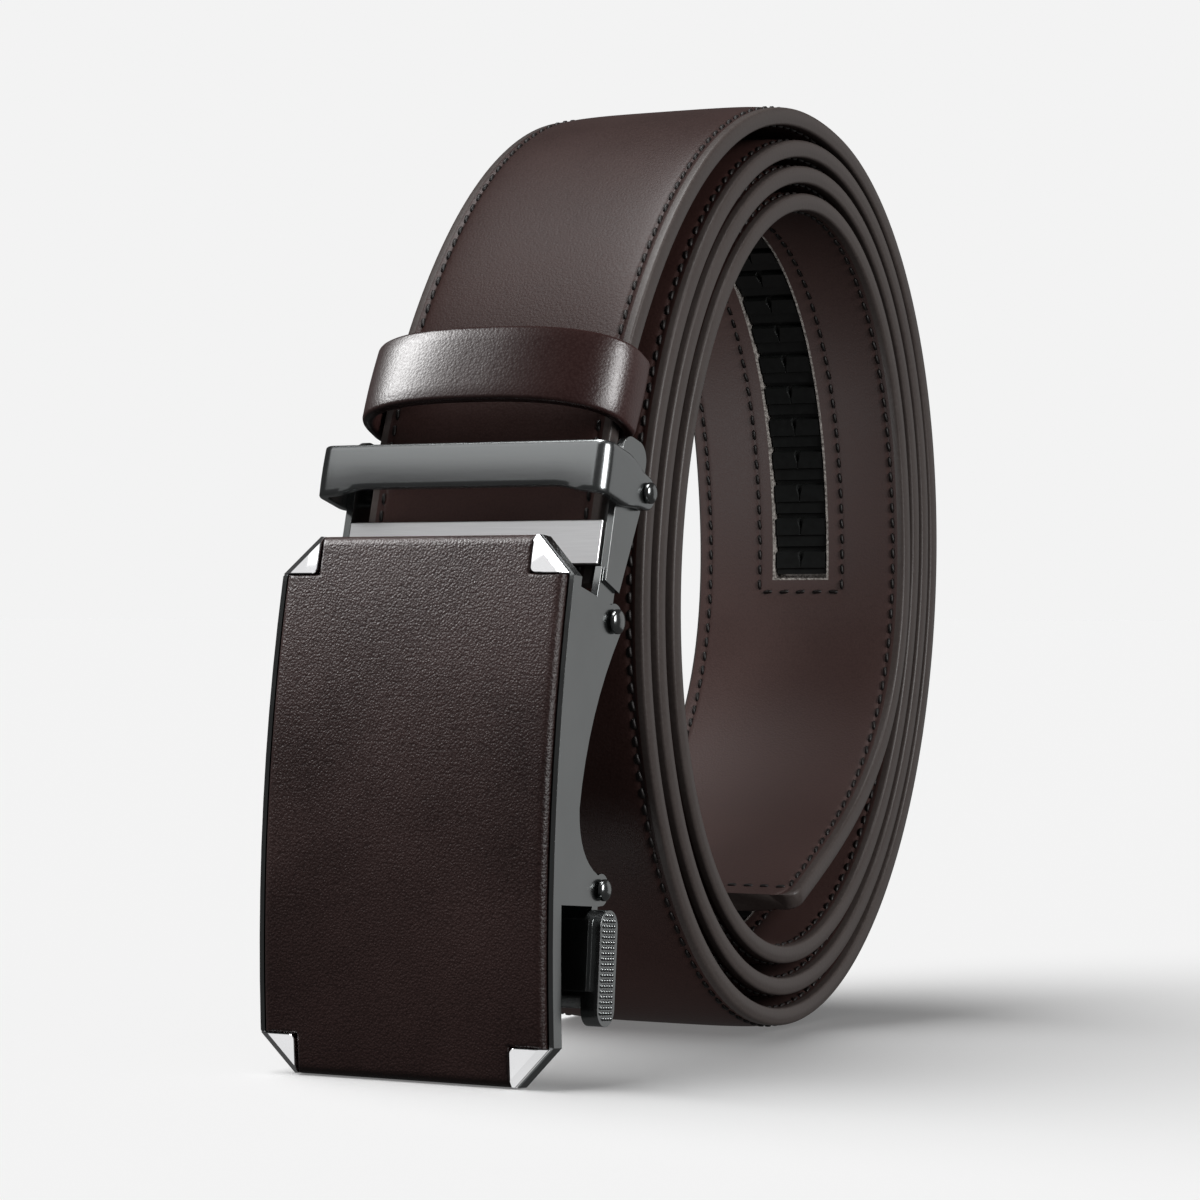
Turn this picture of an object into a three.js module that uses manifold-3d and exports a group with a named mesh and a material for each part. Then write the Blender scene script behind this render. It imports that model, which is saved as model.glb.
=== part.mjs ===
// A ratchet belt standing on its rim: a padded leather strap wound into an upright oval coil,
// and on its outer end a keeper loop, a clamp with a bail, and a hinged leather-faced buckle.
// Millimetres, +Z up, +X along the width of the strap, the buckle faces -Y.
import * as THREE from 'three';
import { mergeVertices } from 'three/addons/utils/BufferGeometryUtils.js';
import Module from 'manifold-3d';

const wasm = await Module();
wasm.setup();

// Strap
const STRAP_WIDTH = 35;
const EDGE_THICKNESS = 2.5; // at the rim
const CROWN_RISE = 0.5; // how far the padding stands above the rim
const CROWN_INSET = 2.2; // from the rim to where the padding starts
const SHOULDER_STEPS = [[1, 0], [0.72, 0.8], [0.36, 1]]; // shares of the crown's half width and rise
const RIM_ROUNDING = 0.35;
const TIP_ROUNDING = 2;
const TIP_STEPS = [0.7, 1]; // shares of the tip's rounding
const STATION_STEP = 5.8; // length of a facet along the strap
const FOOT_LENGTH = 6; // flat on which the coil stands

// Coil: a tilted oval spiral
const COIL_HALF_DEPTH = 51.5;
const COIL_HALF_HEIGHT = 66.4;
const COIL_TILT_DEG = 8.5; // top leans to the back
const TURN_GAP = 0.65; // room between the outer turns
const GAP_GROWTH = 0.12; // the room grows towards the inside
const DRIFT_BACK = 0.45; // each turn sits a little further back than the one round it
const DRIFT_UP = 0.35;
const COIL_START_DEG = 96; // 0 is the front, 90 the top; here the strap leaves for the clamp
const COIL_END_DEG = 1235; // here the tail leaves the turn that it lay against
const TIP_DEG = 1340.6; // the tip hovers over this place of the turn beneath it
const TIP_LIFT = 2.6;
const TAIL_END_DEG = 27; // slope of the tail at its tip

// Ratchet track in the lining
const SLOT_WIDTH = 8.8;
const SLOT_DEPTH = 1.7;
const SLOT_FROM_TIP = 66.9;
const TRACK_LENGTH = 249;
const TRACK_BASE = 0.5;
const TOOTH_PITCH = 5.3;
const TOOTH_RECESS = 0.05; // teeth stay below the lining
const FIT_GAP = 0.3; // between pieces that touch
const OVERCUT = 1; // a cutting solid reaches this far beyond what it cuts

// Keeper loop
const KEEPER_FROM_END = 26.7; // middle of the loop, from the strap's clamped end
const KEEPER_BAND = 10.8;
const KEEPER_WALL = 1.6;
const KEEPER_ROOM = 6.2; // room above the rim for the strap's free end
const KEEPER_BOW = 0.7;
const KEEPER_CORNER = 7;
const KEEPER_SIDE_GAP = 0.6;

// Buckle: a bowed tray with side walls, a leather-covered panel and four corner caps
const BUCKLE_HEIGHT = 69.3;
const BUCKLE_LEAN_DEG = 5.2;
const BUCKLE_BOW = 2.9;
const BUCKLE_STANDOFF = 32.5; // from the coil's front to the buckle's foot
const TRAY_DEPTH = 3; // from the panel's face to the tray's back
const TRAY_FLOOR = 1.1;
const LIP_WIDTH = 0.65;
const LIP_CORNER = 1.4; // the lip along a cut corner, in shares of its width
const LIP_RECESS = 0.9; // the panel stands this far above the lip
const CORNER_CUT = 5.2;
const SIDE_WALL = 1;
const PANEL_EDGE = 0.6; // rounding of the panel's long edges
const CAP_SIZE = 5; // legs of a corner cap
const CAP_PROUD = 0.25;
const CAP_CUT = 0.4; // the cap's long edge lies this far inside the corner
const CAP_BEVEL = 1.6; // width of the facet along the long edge
const CAP_BEVEL_DROP = 0.8;
const HINGE_FROM_TOP = 10.1;
const HINGE_HEIGHT = BUCKLE_HEIGHT - HINGE_FROM_TOP; // from the buckle's foot
const HINGE_BEHIND = 11.3; // behind the chord of the panel's face
const EAR_RADIUS = 2.3;
const EAR_SHOULDER_UP = 0.9; // where an ear's arc starts, in shares of its radius
const EAR_SHOULDER_OUT = 0.45;
const EAR_ARC_START = 0.15 * Math.PI;
const HINGE_EAR_ARC_END = -0.7 * Math.PI;
const LEVER_EAR_ARC_END = -0.9 * Math.PI;
const LEVER_EAR_SHARE = 0.9; // of the hinge ear's radius
const LEVER_HEIGHT = 25;
const LEVER_BEHIND = 10.8;
const WALL_BELOW_LEVER = 2.1;
const WALL_FOOT = LEVER_HEIGHT - WALL_BELOW_LEVER; // lower end of the side walls
const WALL_WAIST_HEIGHT = 35;
const WALL_WAIST_BEHIND = 4.1;
const WAIST_HOLLOW = 1.2; // how much the wall's back edge curves in above the waist
const WAIST_HOLLOW_LOW = 0.3; // and below it
const WAIST_LOW_SHARE = 0.62;
const WALL_HEAD = 3.7; // above the hinge pin
const WALL_ROOT = 0.5; // how far the walls reach into the tray

// Clamp: side walls with a bright front plate, a bail and a toothed jaw
const CLAMP_LEAN_DEG = 15.5;
const HINGE_BELOW_CLAMP_PIN = 18.5;
const HINGE_BEFORE_CLAMP_PIN = 4.4;
const CLAMP_WALL = 1;
const CLAMP_WALL_TOP = 6.6; // above the clamp pin
const CLAMP_WALL_FOOT = 14; // below the clamp pin
const CLAMP_WALL_BACK = 1.1; // behind the clamp pin
const CLAMP_WALL_CORNER = 2.4;
const CLAMP_WALL_STEP = 2.4; // below the clamp pin, where the back edge starts to slope in
const CLAMP_WALL_SLOPE = 0.6; // the foot of the wall slopes by this much
const RIB_TOP = 6.3; // below the clamp pin
const RIB_HEIGHT = 4.9;
const RIB_THICKNESS = 1;
const CLAMP_SIDE_GAP = 1.8; // from the strap's rim to the wall
const KNUCKLE_STEP = 0.5; // the knuckles stand further in than the walls
const LINING_BEFORE_PIN = 2;
const CLAMP_GRIP = 13.4; // the strap's end, below the clamp pin
const CLAMP_MOUTH = 4.7; // where the strap enters, above the clamp pin
const FRONT_PLATE = 0.9;
const FRONT_PLATE_TOP = 5.4; // below the clamp pin
const FRONT_PLATE_HEIGHT = 5.9;
const PLATE_PROUD = 0.5; // before the front edges of the walls
const BAIL_REACH = 12; // front face of the bar, before the clamp pin
const BAIL_THICKNESS = 1.2;
const BAIL_HEIGHT = 6;
const BAIL_RISE = 0.6; // the bar's middle, above the clamp pin
const BAIL_CORNER = 3;
const BAIL_EAR_RADIUS = 2.3;
const JAW_RADIUS = 1.5;
const JAW_REACH = 3.6;
const JAW_TEETH = 3;
const JAW_TOOTH_FLAT = 0.4; // of a tooth's length
const JAW_ROOT = 0.7; // of the jaw's radius, as is the chin
const JAW_CHIN = 0.3;

// Pins
const CLAMP_PIN_RADIUS = 0.75;
const HINGE_PIN_RADIUS = 0.9;
const LEVER_PIN_RADIUS = 0.8;
const CLAMP_HEAD_RADIUS = 1.4;
const HINGE_HEAD_RADIUS = 1.6;
const LEVER_HEAD_RADIUS = 1.4;
const HEAD_HEIGHT = 0.9;
const HEAD_STEPS = [[1, 0.4], [0.7, 0.85]]; // the dome, in shares of its radius and height

// Release lever
const LEVER_BARREL = 1.7;
const LEVER_PLATE = 1.5;
const LEVER_REACH = 15; // from its pin down to its toothed edge
const LEVER_HOOK = 3;
const TAB_HEIGHT = 14.6;
const TAB_DEPTH = 4.6;
const TAB_THICKNESS = 2.4;
const TAB_ROUNDING = 2.2;
const TAB_DROP = 9.8; // the tab's middle, below the lever pin
const TAB_FORWARD = 2.5; // the tab's middle, before the lever pin
const ARM_HEIGHT = 9;
const ARM_DEPTH = 7.5;
const ARM_BELOW_WALL = 1.6; // room between the side wall's foot and the arm

const ROUND_SIDES = 16;

const leather = new THREE.MeshStandardMaterial({ color: 0x3a2c29, roughness: 0.55, metalness: 0 });
const rubber = new THREE.MeshStandardMaterial({ color: 0x1a1c1b, roughness: 0.6, metalness: 0 });
const gunmetal = new THREE.MeshStandardMaterial({ color: 0x6b6f70, roughness: 0.22, metalness: 1 });
const silver = new THREE.MeshStandardMaterial({ color: 0xc9cacb, roughness: 0.3, metalness: 1 });
const chrome = new THREE.MeshStandardMaterial({ color: 0xf0f0f0, roughness: 0.1, metalness: 1 });

const radians = THREE.MathUtils.degToRad;
const belt = new THREE.Group();

function addMesh(name, geometry, material) {
  const mesh = new THREE.Mesh(geometry, material);
  mesh.name = name;
  belt.add(mesh);
  return mesh;
}

// Solids

// Keeps only the positions and merges them, so that the faces share their corners.
function weld(geometry) {
  const bare = geometry.index ? geometry.toNonIndexed() : geometry.clone();
  bare.deleteAttribute('normal');
  bare.deleteAttribute('uv');
  return mergeVertices(bare, 1e-4);
}

function toSolid(geometry) {
  const welded = weld(geometry);
  return new wasm.Manifold(new wasm.Mesh({
    numProp: 3,
    vertProperties: welded.attributes.position.array,
    triVerts: new Uint32Array(welded.index.array),
  }));
}

function toGeometry(solid) {
  const { vertProperties, triVerts } = solid.getMesh();
  const geometry = new THREE.BufferGeometry();
  geometry.setAttribute('position', new THREE.BufferAttribute(vertProperties, 3));
  geometry.setIndex(new THREE.BufferAttribute(triVerts, 1));
  return geometry;
}

const unite = (solids) => solids.reduce((whole, solid) => whole.add(solid));
const cut = (solid, tools) => tools.reduce((rest, tool) => rest.subtract(tool), solid);

// A closed solid through rings of as many points each, its ends filled by the outline's faces.
function loft(rings, outline) {
  const flat = outline.map(([across, up]) => new THREE.Vector2(across, up));
  if (THREE.ShapeUtils.area(flat) < 0) {
    return loft(rings.map((points) => points.toReversed()), outline.toReversed());
  }
  const count = outline.length;
  const corners = rings.flat().flat();
  const faces = [];
  const quad = (a, b, c, d) => faces.push(a, b, c, a, c, d);
  for (let ring = 0; ring < rings.length - 1; ring += 1) {
    for (let point = 0; point < count; point += 1) {
      const next = (point + 1) % count;
      const base = ring * count;
      quad(base + point, base + next, base + count + next, base + count + point);
    }
  }
  const last = (rings.length - 1) * count;
  for (const [a, b, c] of THREE.ShapeUtils.triangulateShape(flat, [])) {
    faces.push(a, c, b, last + a, last + b, last + c);
  }
  if (signedVolume(corners, faces) < 0) {
    faces.reverse();
  }
  const geometry = new THREE.BufferGeometry();
  geometry.setAttribute('position', new THREE.Float32BufferAttribute(corners, 3));
  geometry.setIndex(faces);
  return geometry;
}

function signedVolume(corners, faces) {
  let volume = 0;
  const [a, b, c] = [new THREE.Vector3(), new THREE.Vector3(), new THREE.Vector3()];
  for (let face = 0; face < faces.length; face += 3) {
    a.fromArray(corners, faces[face] * 3);
    b.fromArray(corners, faces[face + 1] * 3);
    c.fromArray(corners, faces[face + 2] * 3);
    volume += a.dot(b.cross(c)) / 6;
  }
  return volume;
}

// A working frame in a side view: "along" and "out" are two directions square to X.
function sideFrame(originY, originZ, alongY, alongZ, outY, outZ) {
  const place = (along, out) => [
    originY + along * alongY + out * outY,
    originZ + along * alongZ + out * outZ,
  ];
  // Turns (along, out, across) into (x, y, z); across runs along +X or -X, as the hand asks.
  const hand = Math.sign(alongY * outZ - alongZ * outY);
  const matrix = new THREE.Matrix4().set(
    0, 0, hand, 0,
    alongY, outY, 0, originY,
    alongZ, outZ, 0, originZ,
    0, 0, 0, 1,
  );
  return { place, matrix };
}

// An outline drawn in (along, out), extruded from one X to another.
function plate(frame, shape, fromX, toX) {
  const geometry = new THREE.ExtrudeGeometry(shape, {
    depth: toX - fromX, bevelEnabled: false, curveSegments: ROUND_SIDES / 2,
  });
  const isMirrored = frame.matrix.elements[8] < 0;
  geometry.translate(0, 0, isMirrored ? -toX : fromX);
  geometry.applyMatrix4(frame.matrix);
  return toSolid(geometry);
}

function bothSides(frame, shape, innerX, outerX) {
  return plate(frame, shape, innerX, outerX).add(plate(frame, shape, -outerX, -innerX));
}

function disc(along, out, radius) {
  return new THREE.Shape().absarc(along, out, radius, 0, 2 * Math.PI);
}

function hole(frame, along, out, radius, halfLength) {
  return plate(frame, disc(along, out, radius), -halfLength, halfLength);
}

function roundedBox(fromAlong, fromOut, toAlong, toOut, rounding) {
  return new THREE.Shape()
    .moveTo(fromAlong + rounding, fromOut)
    .lineTo(toAlong - rounding, fromOut)
    .absarc(toAlong - rounding, fromOut + rounding, rounding, -Math.PI / 2, 0)
    .lineTo(toAlong, toOut - rounding)
    .absarc(toAlong - rounding, toOut - rounding, rounding, 0, Math.PI / 2)
    .lineTo(fromAlong + rounding, toOut)
    .absarc(fromAlong + rounding, toOut - rounding, rounding, Math.PI / 2, Math.PI)
    .lineTo(fromAlong, fromOut + rounding)
    .absarc(fromAlong + rounding, fromOut + rounding, rounding, Math.PI, 1.5 * Math.PI);
}

// Widths across the buckle, from the strap outwards
const strapHalf = STRAP_WIDTH / 2;
const clampInner = strapHalf + CLAMP_SIDE_GAP;
const clampOuter = clampInner + CLAMP_WALL;
const bailInner = clampOuter + FIT_GAP;
const bailOuter = bailInner + CLAMP_WALL;
const buckleInner = bailInner;
const buckleOuter = buckleInner + SIDE_WALL;

// Path of the strap's outer face at its rim, in the side view

const strapThickness = EDGE_THICKNESS + CROWN_RISE;
const turnPitch = strapThickness + TURN_GAP;

function coilPoint(degrees) {
  const turns = (degrees - 90) / 360;
  const inset = turnPitch * turns + GAP_GROWTH * turns * Math.abs(turns);
  const angle = radians(degrees);
  const back = -(COIL_HALF_DEPTH - inset) * Math.cos(angle);
  const up = (COIL_HALF_HEIGHT - inset) * Math.sin(angle);
  const tilt = radians(COIL_TILT_DEG);
  return new THREE.Vector2(
    DRIFT_BACK * turns + back * Math.cos(tilt) + up * Math.sin(tilt),
    DRIFT_UP * turns - back * Math.sin(tilt) + up * Math.cos(tilt),
  );
}

const COIL_SAMPLES = 3000;
const coil = [];
for (let sample = 0; sample <= COIL_SAMPLES; sample += 1) {
  const share = sample / COIL_SAMPLES;
  coil.push(coilPoint(THREE.MathUtils.lerp(COIL_START_DEG, COIL_END_DEG, share)));
}
const coilFoot = coil.reduce((lowest, point) => (point.y < lowest.y ? point : lowest));
const coilLift = CROWN_RISE - coilFoot.y;
coil.forEach((point) => { point.y += coilLift; });
const coilFrontY = Math.min(...coil.map((point) => point.x));

// The buckle stands on the floor before the coil: w runs up its face, f comes out of it.
const buckleLean = radians(BUCKLE_LEAN_DEG);
const buckleFootZ = TRAY_DEPTH * Math.sin(buckleLean);
const buckle = sideFrame(
  coilFrontY - BUCKLE_STANDOFF, buckleFootZ,
  Math.sin(buckleLean), Math.cos(buckleLean),
  -Math.cos(buckleLean), Math.sin(buckleLean),
);
const [hingeY, hingeZ] = buckle.place(HINGE_HEIGHT, -HINGE_BEHIND);

// The clamp hangs over the hinge: u runs down the strap from the clamp pin, v comes out of it.
const clampLean = radians(CLAMP_LEAN_DEG);
const [clampSin, clampCos] = [Math.sin(clampLean), Math.cos(clampLean)];
const clampPinY = hingeY + HINGE_BELOW_CLAMP_PIN * clampSin + HINGE_BEFORE_CLAMP_PIN * clampCos;
const clampPinZ = hingeZ + HINGE_BELOW_CLAMP_PIN * clampCos - HINGE_BEFORE_CLAMP_PIN * clampSin;
const clamp = sideFrame(clampPinY, clampPinZ, -clampSin, -clampCos, -clampCos, clampSin);
const rimBeforePin = LINING_BEFORE_PIN + EDGE_THICKNESS;

const strapEnd = new THREE.Vector2(...clamp.place(CLAMP_GRIP, rimBeforePin));
const clampMouth = new THREE.Vector2(...clamp.place(-CLAMP_MOUTH, rimBeforePin));
const upTheClamp = new THREE.Vector2(clampSin, clampCos);

// A smooth bend between two points with given directions; the handles are shares of the chord.
function bend(from, fromDirection, to, toDirection, fromHandle, toHandle, samples) {
  const chord = from.distanceTo(to);
  const curve = new THREE.CubicBezierCurve(
    from,
    from.clone().addScaledVector(fromDirection, fromHandle * chord),
    to.clone().addScaledVector(toDirection, -toHandle * chord),
    to,
  );
  return curve.getPoints(samples);
}

const direction = (from, to) => to.clone().sub(from).normalize();
const LEAD_HANDLES = [0.143, 0.541];
const TAIL_HANDLES = [0.594, 0.287];
const BEND_SAMPLES = 300;
const lead = bend(
  clampMouth, upTheClamp, coil[0], direction(coil[0], coil[1]),
  LEAD_HANDLES[0], LEAD_HANDLES[1], BEND_SAMPLES,
);
const coilEnd = coil[COIL_SAMPLES];
const tailSlope = radians(TAIL_END_DEG);
const underTip = coilPoint(TIP_DEG);
const alongTip = direction(underTip, coilPoint(TIP_DEG + 1));
const tip = new THREE.Vector2(
  underTip.x + alongTip.y * TIP_LIFT,
  underTip.y + coilLift - alongTip.x * TIP_LIFT,
);
const tail = bend(
  coilEnd, direction(coil[COIL_SAMPLES - 1], coilEnd),
  tip, new THREE.Vector2(-Math.cos(tailSlope), -Math.sin(tailSlope)),
  TAIL_HANDLES[0], TAIL_HANDLES[1], BEND_SAMPLES,
);
const trail = [strapEnd, ...lead, ...coil.slice(1), ...tail.slice(1)];
const reached = [0];
for (let point = 1; point < trail.length; point += 1) {
  reached.push(reached[point - 1] + trail[point].distanceTo(trail[point - 1]));
}
const strapLength = reached[reached.length - 1];

// The place on the strap at a length from its clamped end, with the outward direction there.
function station(length) {
  let high = reached.findIndex((value) => value >= length - 1e-9);
  high = THREE.MathUtils.clamp(high, 1, trail.length - 1);
  const share = (length - reached[high - 1]) / (reached[high] - reached[high - 1]);
  const place = trail[high - 1].clone().lerp(trail[high], share);
  const ahead = direction(trail[high - 1], trail[high]);
  return { y: place.x, z: place.y, outY: -ahead.y, outZ: ahead.x };
}

function ring(at, section) {
  return section.map(([across, out]) => [across, at.y + at.outY * out, at.z + at.outZ * out]);
}

// The foot: two stations on one level, so that the coil stands on a flat
const footAt = reached[trail.findIndex((point) => point.x === coilFoot.x && point.y === coilFoot.y)];
const footStations = [footAt - FOOT_LENGTH / 2, footAt + FOOT_LENGTH / 2].map((length) => {
  const at = station(length);
  return { ...at, z: CROWN_RISE, outY: 0, outZ: -1, length };
});

const slotEnd = strapLength - SLOT_FROM_TIP;
const slotStart = slotEnd - TRACK_LENGTH;

function spread(from, to) {
  const count = Math.max(1, Math.ceil((to - from) / STATION_STEP));
  return Array.from({ length: count }, (_, index) => from + ((to - from) * index) / count);
}

const footLengths = footStations.map(({ length }) => length);
const marks = [0, ...footLengths, slotStart, slotEnd, strapLength - TIP_ROUNDING];
marks.sort((a, b) => a - b);
const stationLengths = marks.slice(1).flatMap((mark, index) => spread(marks[index], mark));
stationLengths.push(strapLength - TIP_ROUNDING);

function stationAt(length) {
  const foot = footStations.find((at) => at.length === length);
  return foot ?? station(length);
}

// Strap

function strapSection(half) {
  const crown = half - CROWN_INSET;
  const right = SHOULDER_STEPS.map(([share, rise]) => [crown * share, CROWN_RISE * rise]);
  return [
    [-half, -EDGE_THICKNESS],
    [half, -EDGE_THICKNESS],
    [half, -RIM_ROUNDING],
    [half - RIM_ROUNDING, 0],
    ...right,
    ...right.map(([across, out]) => [-across, out]).reverse(),
    [-half + RIM_ROUNDING, 0],
    [-half, -RIM_ROUNDING],
  ];
}

const strapRings = stationLengths.map((length) => ring(stationAt(length), strapSection(strapHalf)));
for (const share of TIP_STEPS) {
  const narrowing = TIP_ROUNDING * (1 - Math.sqrt(1 - share * share));
  const at = station(strapLength - TIP_ROUNDING * (1 - share));
  strapRings.push(ring(at, strapSection(strapHalf - narrowing)));
}

function bar(halfWidth, fromOut, toOut) {
  return [[-halfWidth, fromOut], [halfWidth, fromOut], [halfWidth, toOut], [-halfWidth, toOut]];
}

const slotFloor = SLOT_DEPTH - EDGE_THICKNESS;
const slotSection = bar(SLOT_WIDTH / 2, -EDGE_THICKNESS - OVERCUT, slotFloor);
const slotRings = stationLengths
  .filter((length) => length >= slotStart && length <= slotEnd)
  .map((length) => ring(stationAt(length), slotSection));
const slot = toSolid(loft(slotRings, slotSection));
const strap = cut(toSolid(loft(strapRings, strapSection(strapHalf))), [slot]);
addMesh('strap', toGeometry(strap), leather);

// Ratchet track: each tooth rises along the strap and drops at its end
const trackBack = slotFloor - FIT_GAP;
const toothFoot = trackBack - TRACK_BASE;
const toothTop = -EDGE_THICKNESS + TOOTH_RECESS;
const trackHalf = SLOT_WIDTH / 2 - FIT_GAP;
const toothCount = Math.floor((TRACK_LENGTH - 2 * FIT_GAP) / TOOTH_PITCH);
const trackStart = slotStart + FIT_GAP;
const trackRings = [];
const TOOTH_PROFILE = [[0.04, 0], [0.84, 1], [0.96, 1]];
for (let tooth = 0; tooth < toothCount; tooth += 1) {
  for (const [share, rise] of TOOTH_PROFILE) {
    const at = station(trackStart + (tooth + share) * TOOTH_PITCH);
    const top = THREE.MathUtils.lerp(toothFoot, toothTop, rise);
    trackRings.push(ring(at, bar(trackHalf, top, trackBack)));
  }
}
addMesh('ratchet_track', loft(trackRings, bar(trackHalf, toothTop, trackBack)), rubber);

// Keeper loop: a rounded leather band round the strap, with room for the free end
const keeperAt = station(KEEPER_FROM_END);
const keeperFrame = new THREE.Matrix4().makeBasis(
  new THREE.Vector3(1, 0, 0),
  new THREE.Vector3(0, keeperAt.outY, keeperAt.outZ),
  new THREE.Vector3(0, -keeperAt.outZ, keeperAt.outY),
).setPosition(0, keeperAt.y, keeperAt.z);

function keeperOutline(grow) {
  const half = strapHalf + KEEPER_SIDE_GAP + grow;
  const back = -EDGE_THICKNESS - FIT_GAP - grow;
  const front = KEEPER_ROOM + grow;
  const corner = KEEPER_CORNER - KEEPER_WALL + grow;
  const rear = KEEPER_WALL / 2 + grow;
  return new THREE.Shape()
    .moveTo(-half + rear, back)
    .lineTo(half - rear, back)
    .absarc(half - rear, back + rear, rear, -Math.PI / 2, 0)
    .lineTo(half, front - corner)
    .absarc(half - corner, front - corner, corner, 0, Math.PI / 2)
    .quadraticCurveTo(0, front + 2 * KEEPER_BOW, -half + corner, front)
    .absarc(-half + corner, front - corner, corner, Math.PI / 2, Math.PI)
    .lineTo(-half, back + rear)
    .absarc(-half + rear, back + rear, rear, Math.PI, 1.5 * Math.PI);
}

function keeperBlock(grow, length) {
  const geometry = new THREE.ExtrudeGeometry(keeperOutline(grow), {
    depth: length, bevelEnabled: false, curveSegments: ROUND_SIDES / 4,
  });
  geometry.translate(0, 0, -length / 2);
  geometry.applyMatrix4(keeperFrame);
  return toSolid(geometry);
}

const keeper = keeperBlock(KEEPER_WALL, KEEPER_BAND).subtract(keeperBlock(0, KEEPER_BAND + 2 * OVERCUT));
addMesh('keeper_loop', toGeometry(keeper), leather);

// Clamp base: two walls that carry the clamp pin above and the hinge pin below
const rimFront = rimBeforePin + CROWN_RISE;
const plateBack = rimFront + FIT_GAP;
const plateFront = plateBack + FRONT_PLATE;
const wallFront = plateFront - PLATE_PROUD;
const wallRoundAt = -CLAMP_WALL_TOP + CLAMP_WALL_CORNER;
const clampWallShape = new THREE.Shape()
  .moveTo(wallRoundAt, -CLAMP_WALL_BACK)
  .lineTo(CLAMP_WALL_STEP, -CLAMP_WALL_BACK)
  .lineTo(CLAMP_WALL_FOOT, LINING_BEFORE_PIN - FIT_GAP)
  .lineTo(CLAMP_WALL_FOOT - CLAMP_WALL_SLOPE, wallFront)
  .lineTo(wallRoundAt, wallFront)
  .absarc(wallRoundAt, wallFront - CLAMP_WALL_CORNER, CLAMP_WALL_CORNER, Math.PI / 2, Math.PI)
  .lineTo(-CLAMP_WALL_TOP, -CLAMP_WALL_BACK + CLAMP_WALL_CORNER)
  .absarc(wallRoundAt, -CLAMP_WALL_BACK + CLAMP_WALL_CORNER, CLAMP_WALL_CORNER,
    Math.PI, 1.5 * Math.PI);
const knuckleTop = FRONT_PLATE_TOP + FRONT_PLATE_HEIGHT + FIT_GAP;
const knuckleShape = new THREE.Shape()
  .moveTo(knuckleTop, LINING_BEFORE_PIN)
  .lineTo(HINGE_BELOW_CLAMP_PIN, HINGE_BEFORE_CLAMP_PIN - EAR_RADIUS)
  .absarc(HINGE_BELOW_CLAMP_PIN, HINGE_BEFORE_CLAMP_PIN, EAR_RADIUS, -Math.PI / 2, Math.PI / 2)
  .lineTo(knuckleTop, plateFront);
const clampBase = cut(
  bothSides(clamp, clampWallShape, clampInner, clampOuter).add(
    bothSides(clamp, knuckleShape, clampInner - KNUCKLE_STEP, clampOuter - KNUCKLE_STEP),
  ),
  [
    hole(clamp, 0, 0, CLAMP_PIN_RADIUS + FIT_GAP, buckleOuter),
    hole(clamp, HINGE_BELOW_CLAMP_PIN, HINGE_BEFORE_CLAMP_PIN, HINGE_PIN_RADIUS + FIT_GAP,
      buckleOuter),
  ],
);
// A thin rib behind the strap's end joins the two walls
const ribFront = LINING_BEFORE_PIN - FIT_GAP;
const ribShape = new THREE.Shape()
  .moveTo(RIB_TOP, ribFront - RIB_THICKNESS)
  .lineTo(RIB_TOP + RIB_HEIGHT, ribFront - RIB_THICKNESS)
  .lineTo(RIB_TOP + RIB_HEIGHT, ribFront)
  .lineTo(RIB_TOP, ribFront);
const ribHalf = clampInner + CLAMP_WALL / 2;
const clampRib = plate(clamp, ribShape, -ribHalf, ribHalf);
addMesh('clamp_base', toGeometry(clampBase.add(clampRib)), gunmetal);

const frontPlateShape = new THREE.Shape()
  .moveTo(FRONT_PLATE_TOP, plateBack)
  .lineTo(FRONT_PLATE_TOP + FRONT_PLATE_HEIGHT, plateBack)
  .lineTo(FRONT_PLATE_TOP + FRONT_PLATE_HEIGHT, plateFront)
  .lineTo(FRONT_PLATE_TOP, plateFront);
const plateHalf = clampInner - FIT_GAP;
addMesh('clamp_plate', toGeometry(plate(clamp, frontPlateShape, -plateHalf, plateHalf)), silver);

// Bail: a bar before the strap on two ears that turn on the clamp pin
const bailTop = -BAIL_RISE - BAIL_HEIGHT / 2;
const bailFoot = -BAIL_RISE + BAIL_HEIGHT / 2;
const earNeck = BAIL_REACH - 2 * BAIL_CORNER;
const bailSide = new THREE.Shape()
  .moveTo(bailTop, BAIL_REACH)
  .lineTo(bailTop, earNeck)
  .lineTo(-BAIL_EAR_RADIUS, 0)
  .absarc(0, 0, BAIL_EAR_RADIUS, Math.PI, 2 * Math.PI)
  .lineTo(bailFoot, earNeck)
  .lineTo(bailFoot, BAIL_REACH);

function bailRound(halfWidth, reach, corner) {
  return new THREE.Shape()
    .moveTo(-halfWidth, -BAIL_REACH)
    .lineTo(halfWidth, -BAIL_REACH)
    .lineTo(halfWidth, reach - corner)
    .absarc(halfWidth - corner, reach - corner, corner, 0, Math.PI / 2)
    .lineTo(-halfWidth + corner, reach)
    .absarc(-halfWidth + corner, reach - corner, corner, Math.PI / 2, Math.PI);
}

// An outline drawn in (x, out), extruded down the clamp from one place to another.
function clampSlab(shape, from, to) {
  const geometry = new THREE.ExtrudeGeometry(shape, {
    depth: to - from, bevelEnabled: false, curveSegments: ROUND_SIDES / 4,
  });
  geometry.translate(0, 0, from);
  geometry.applyMatrix4(new THREE.Matrix4().makeBasis(
    new THREE.Vector3(1, 0, 0),
    new THREE.Vector3(0, -clampCos, clampSin),
    new THREE.Vector3(0, -clampSin, -clampCos),
  ).setPosition(0, clampPinY, clampPinZ));
  return toSolid(geometry);
}

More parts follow.
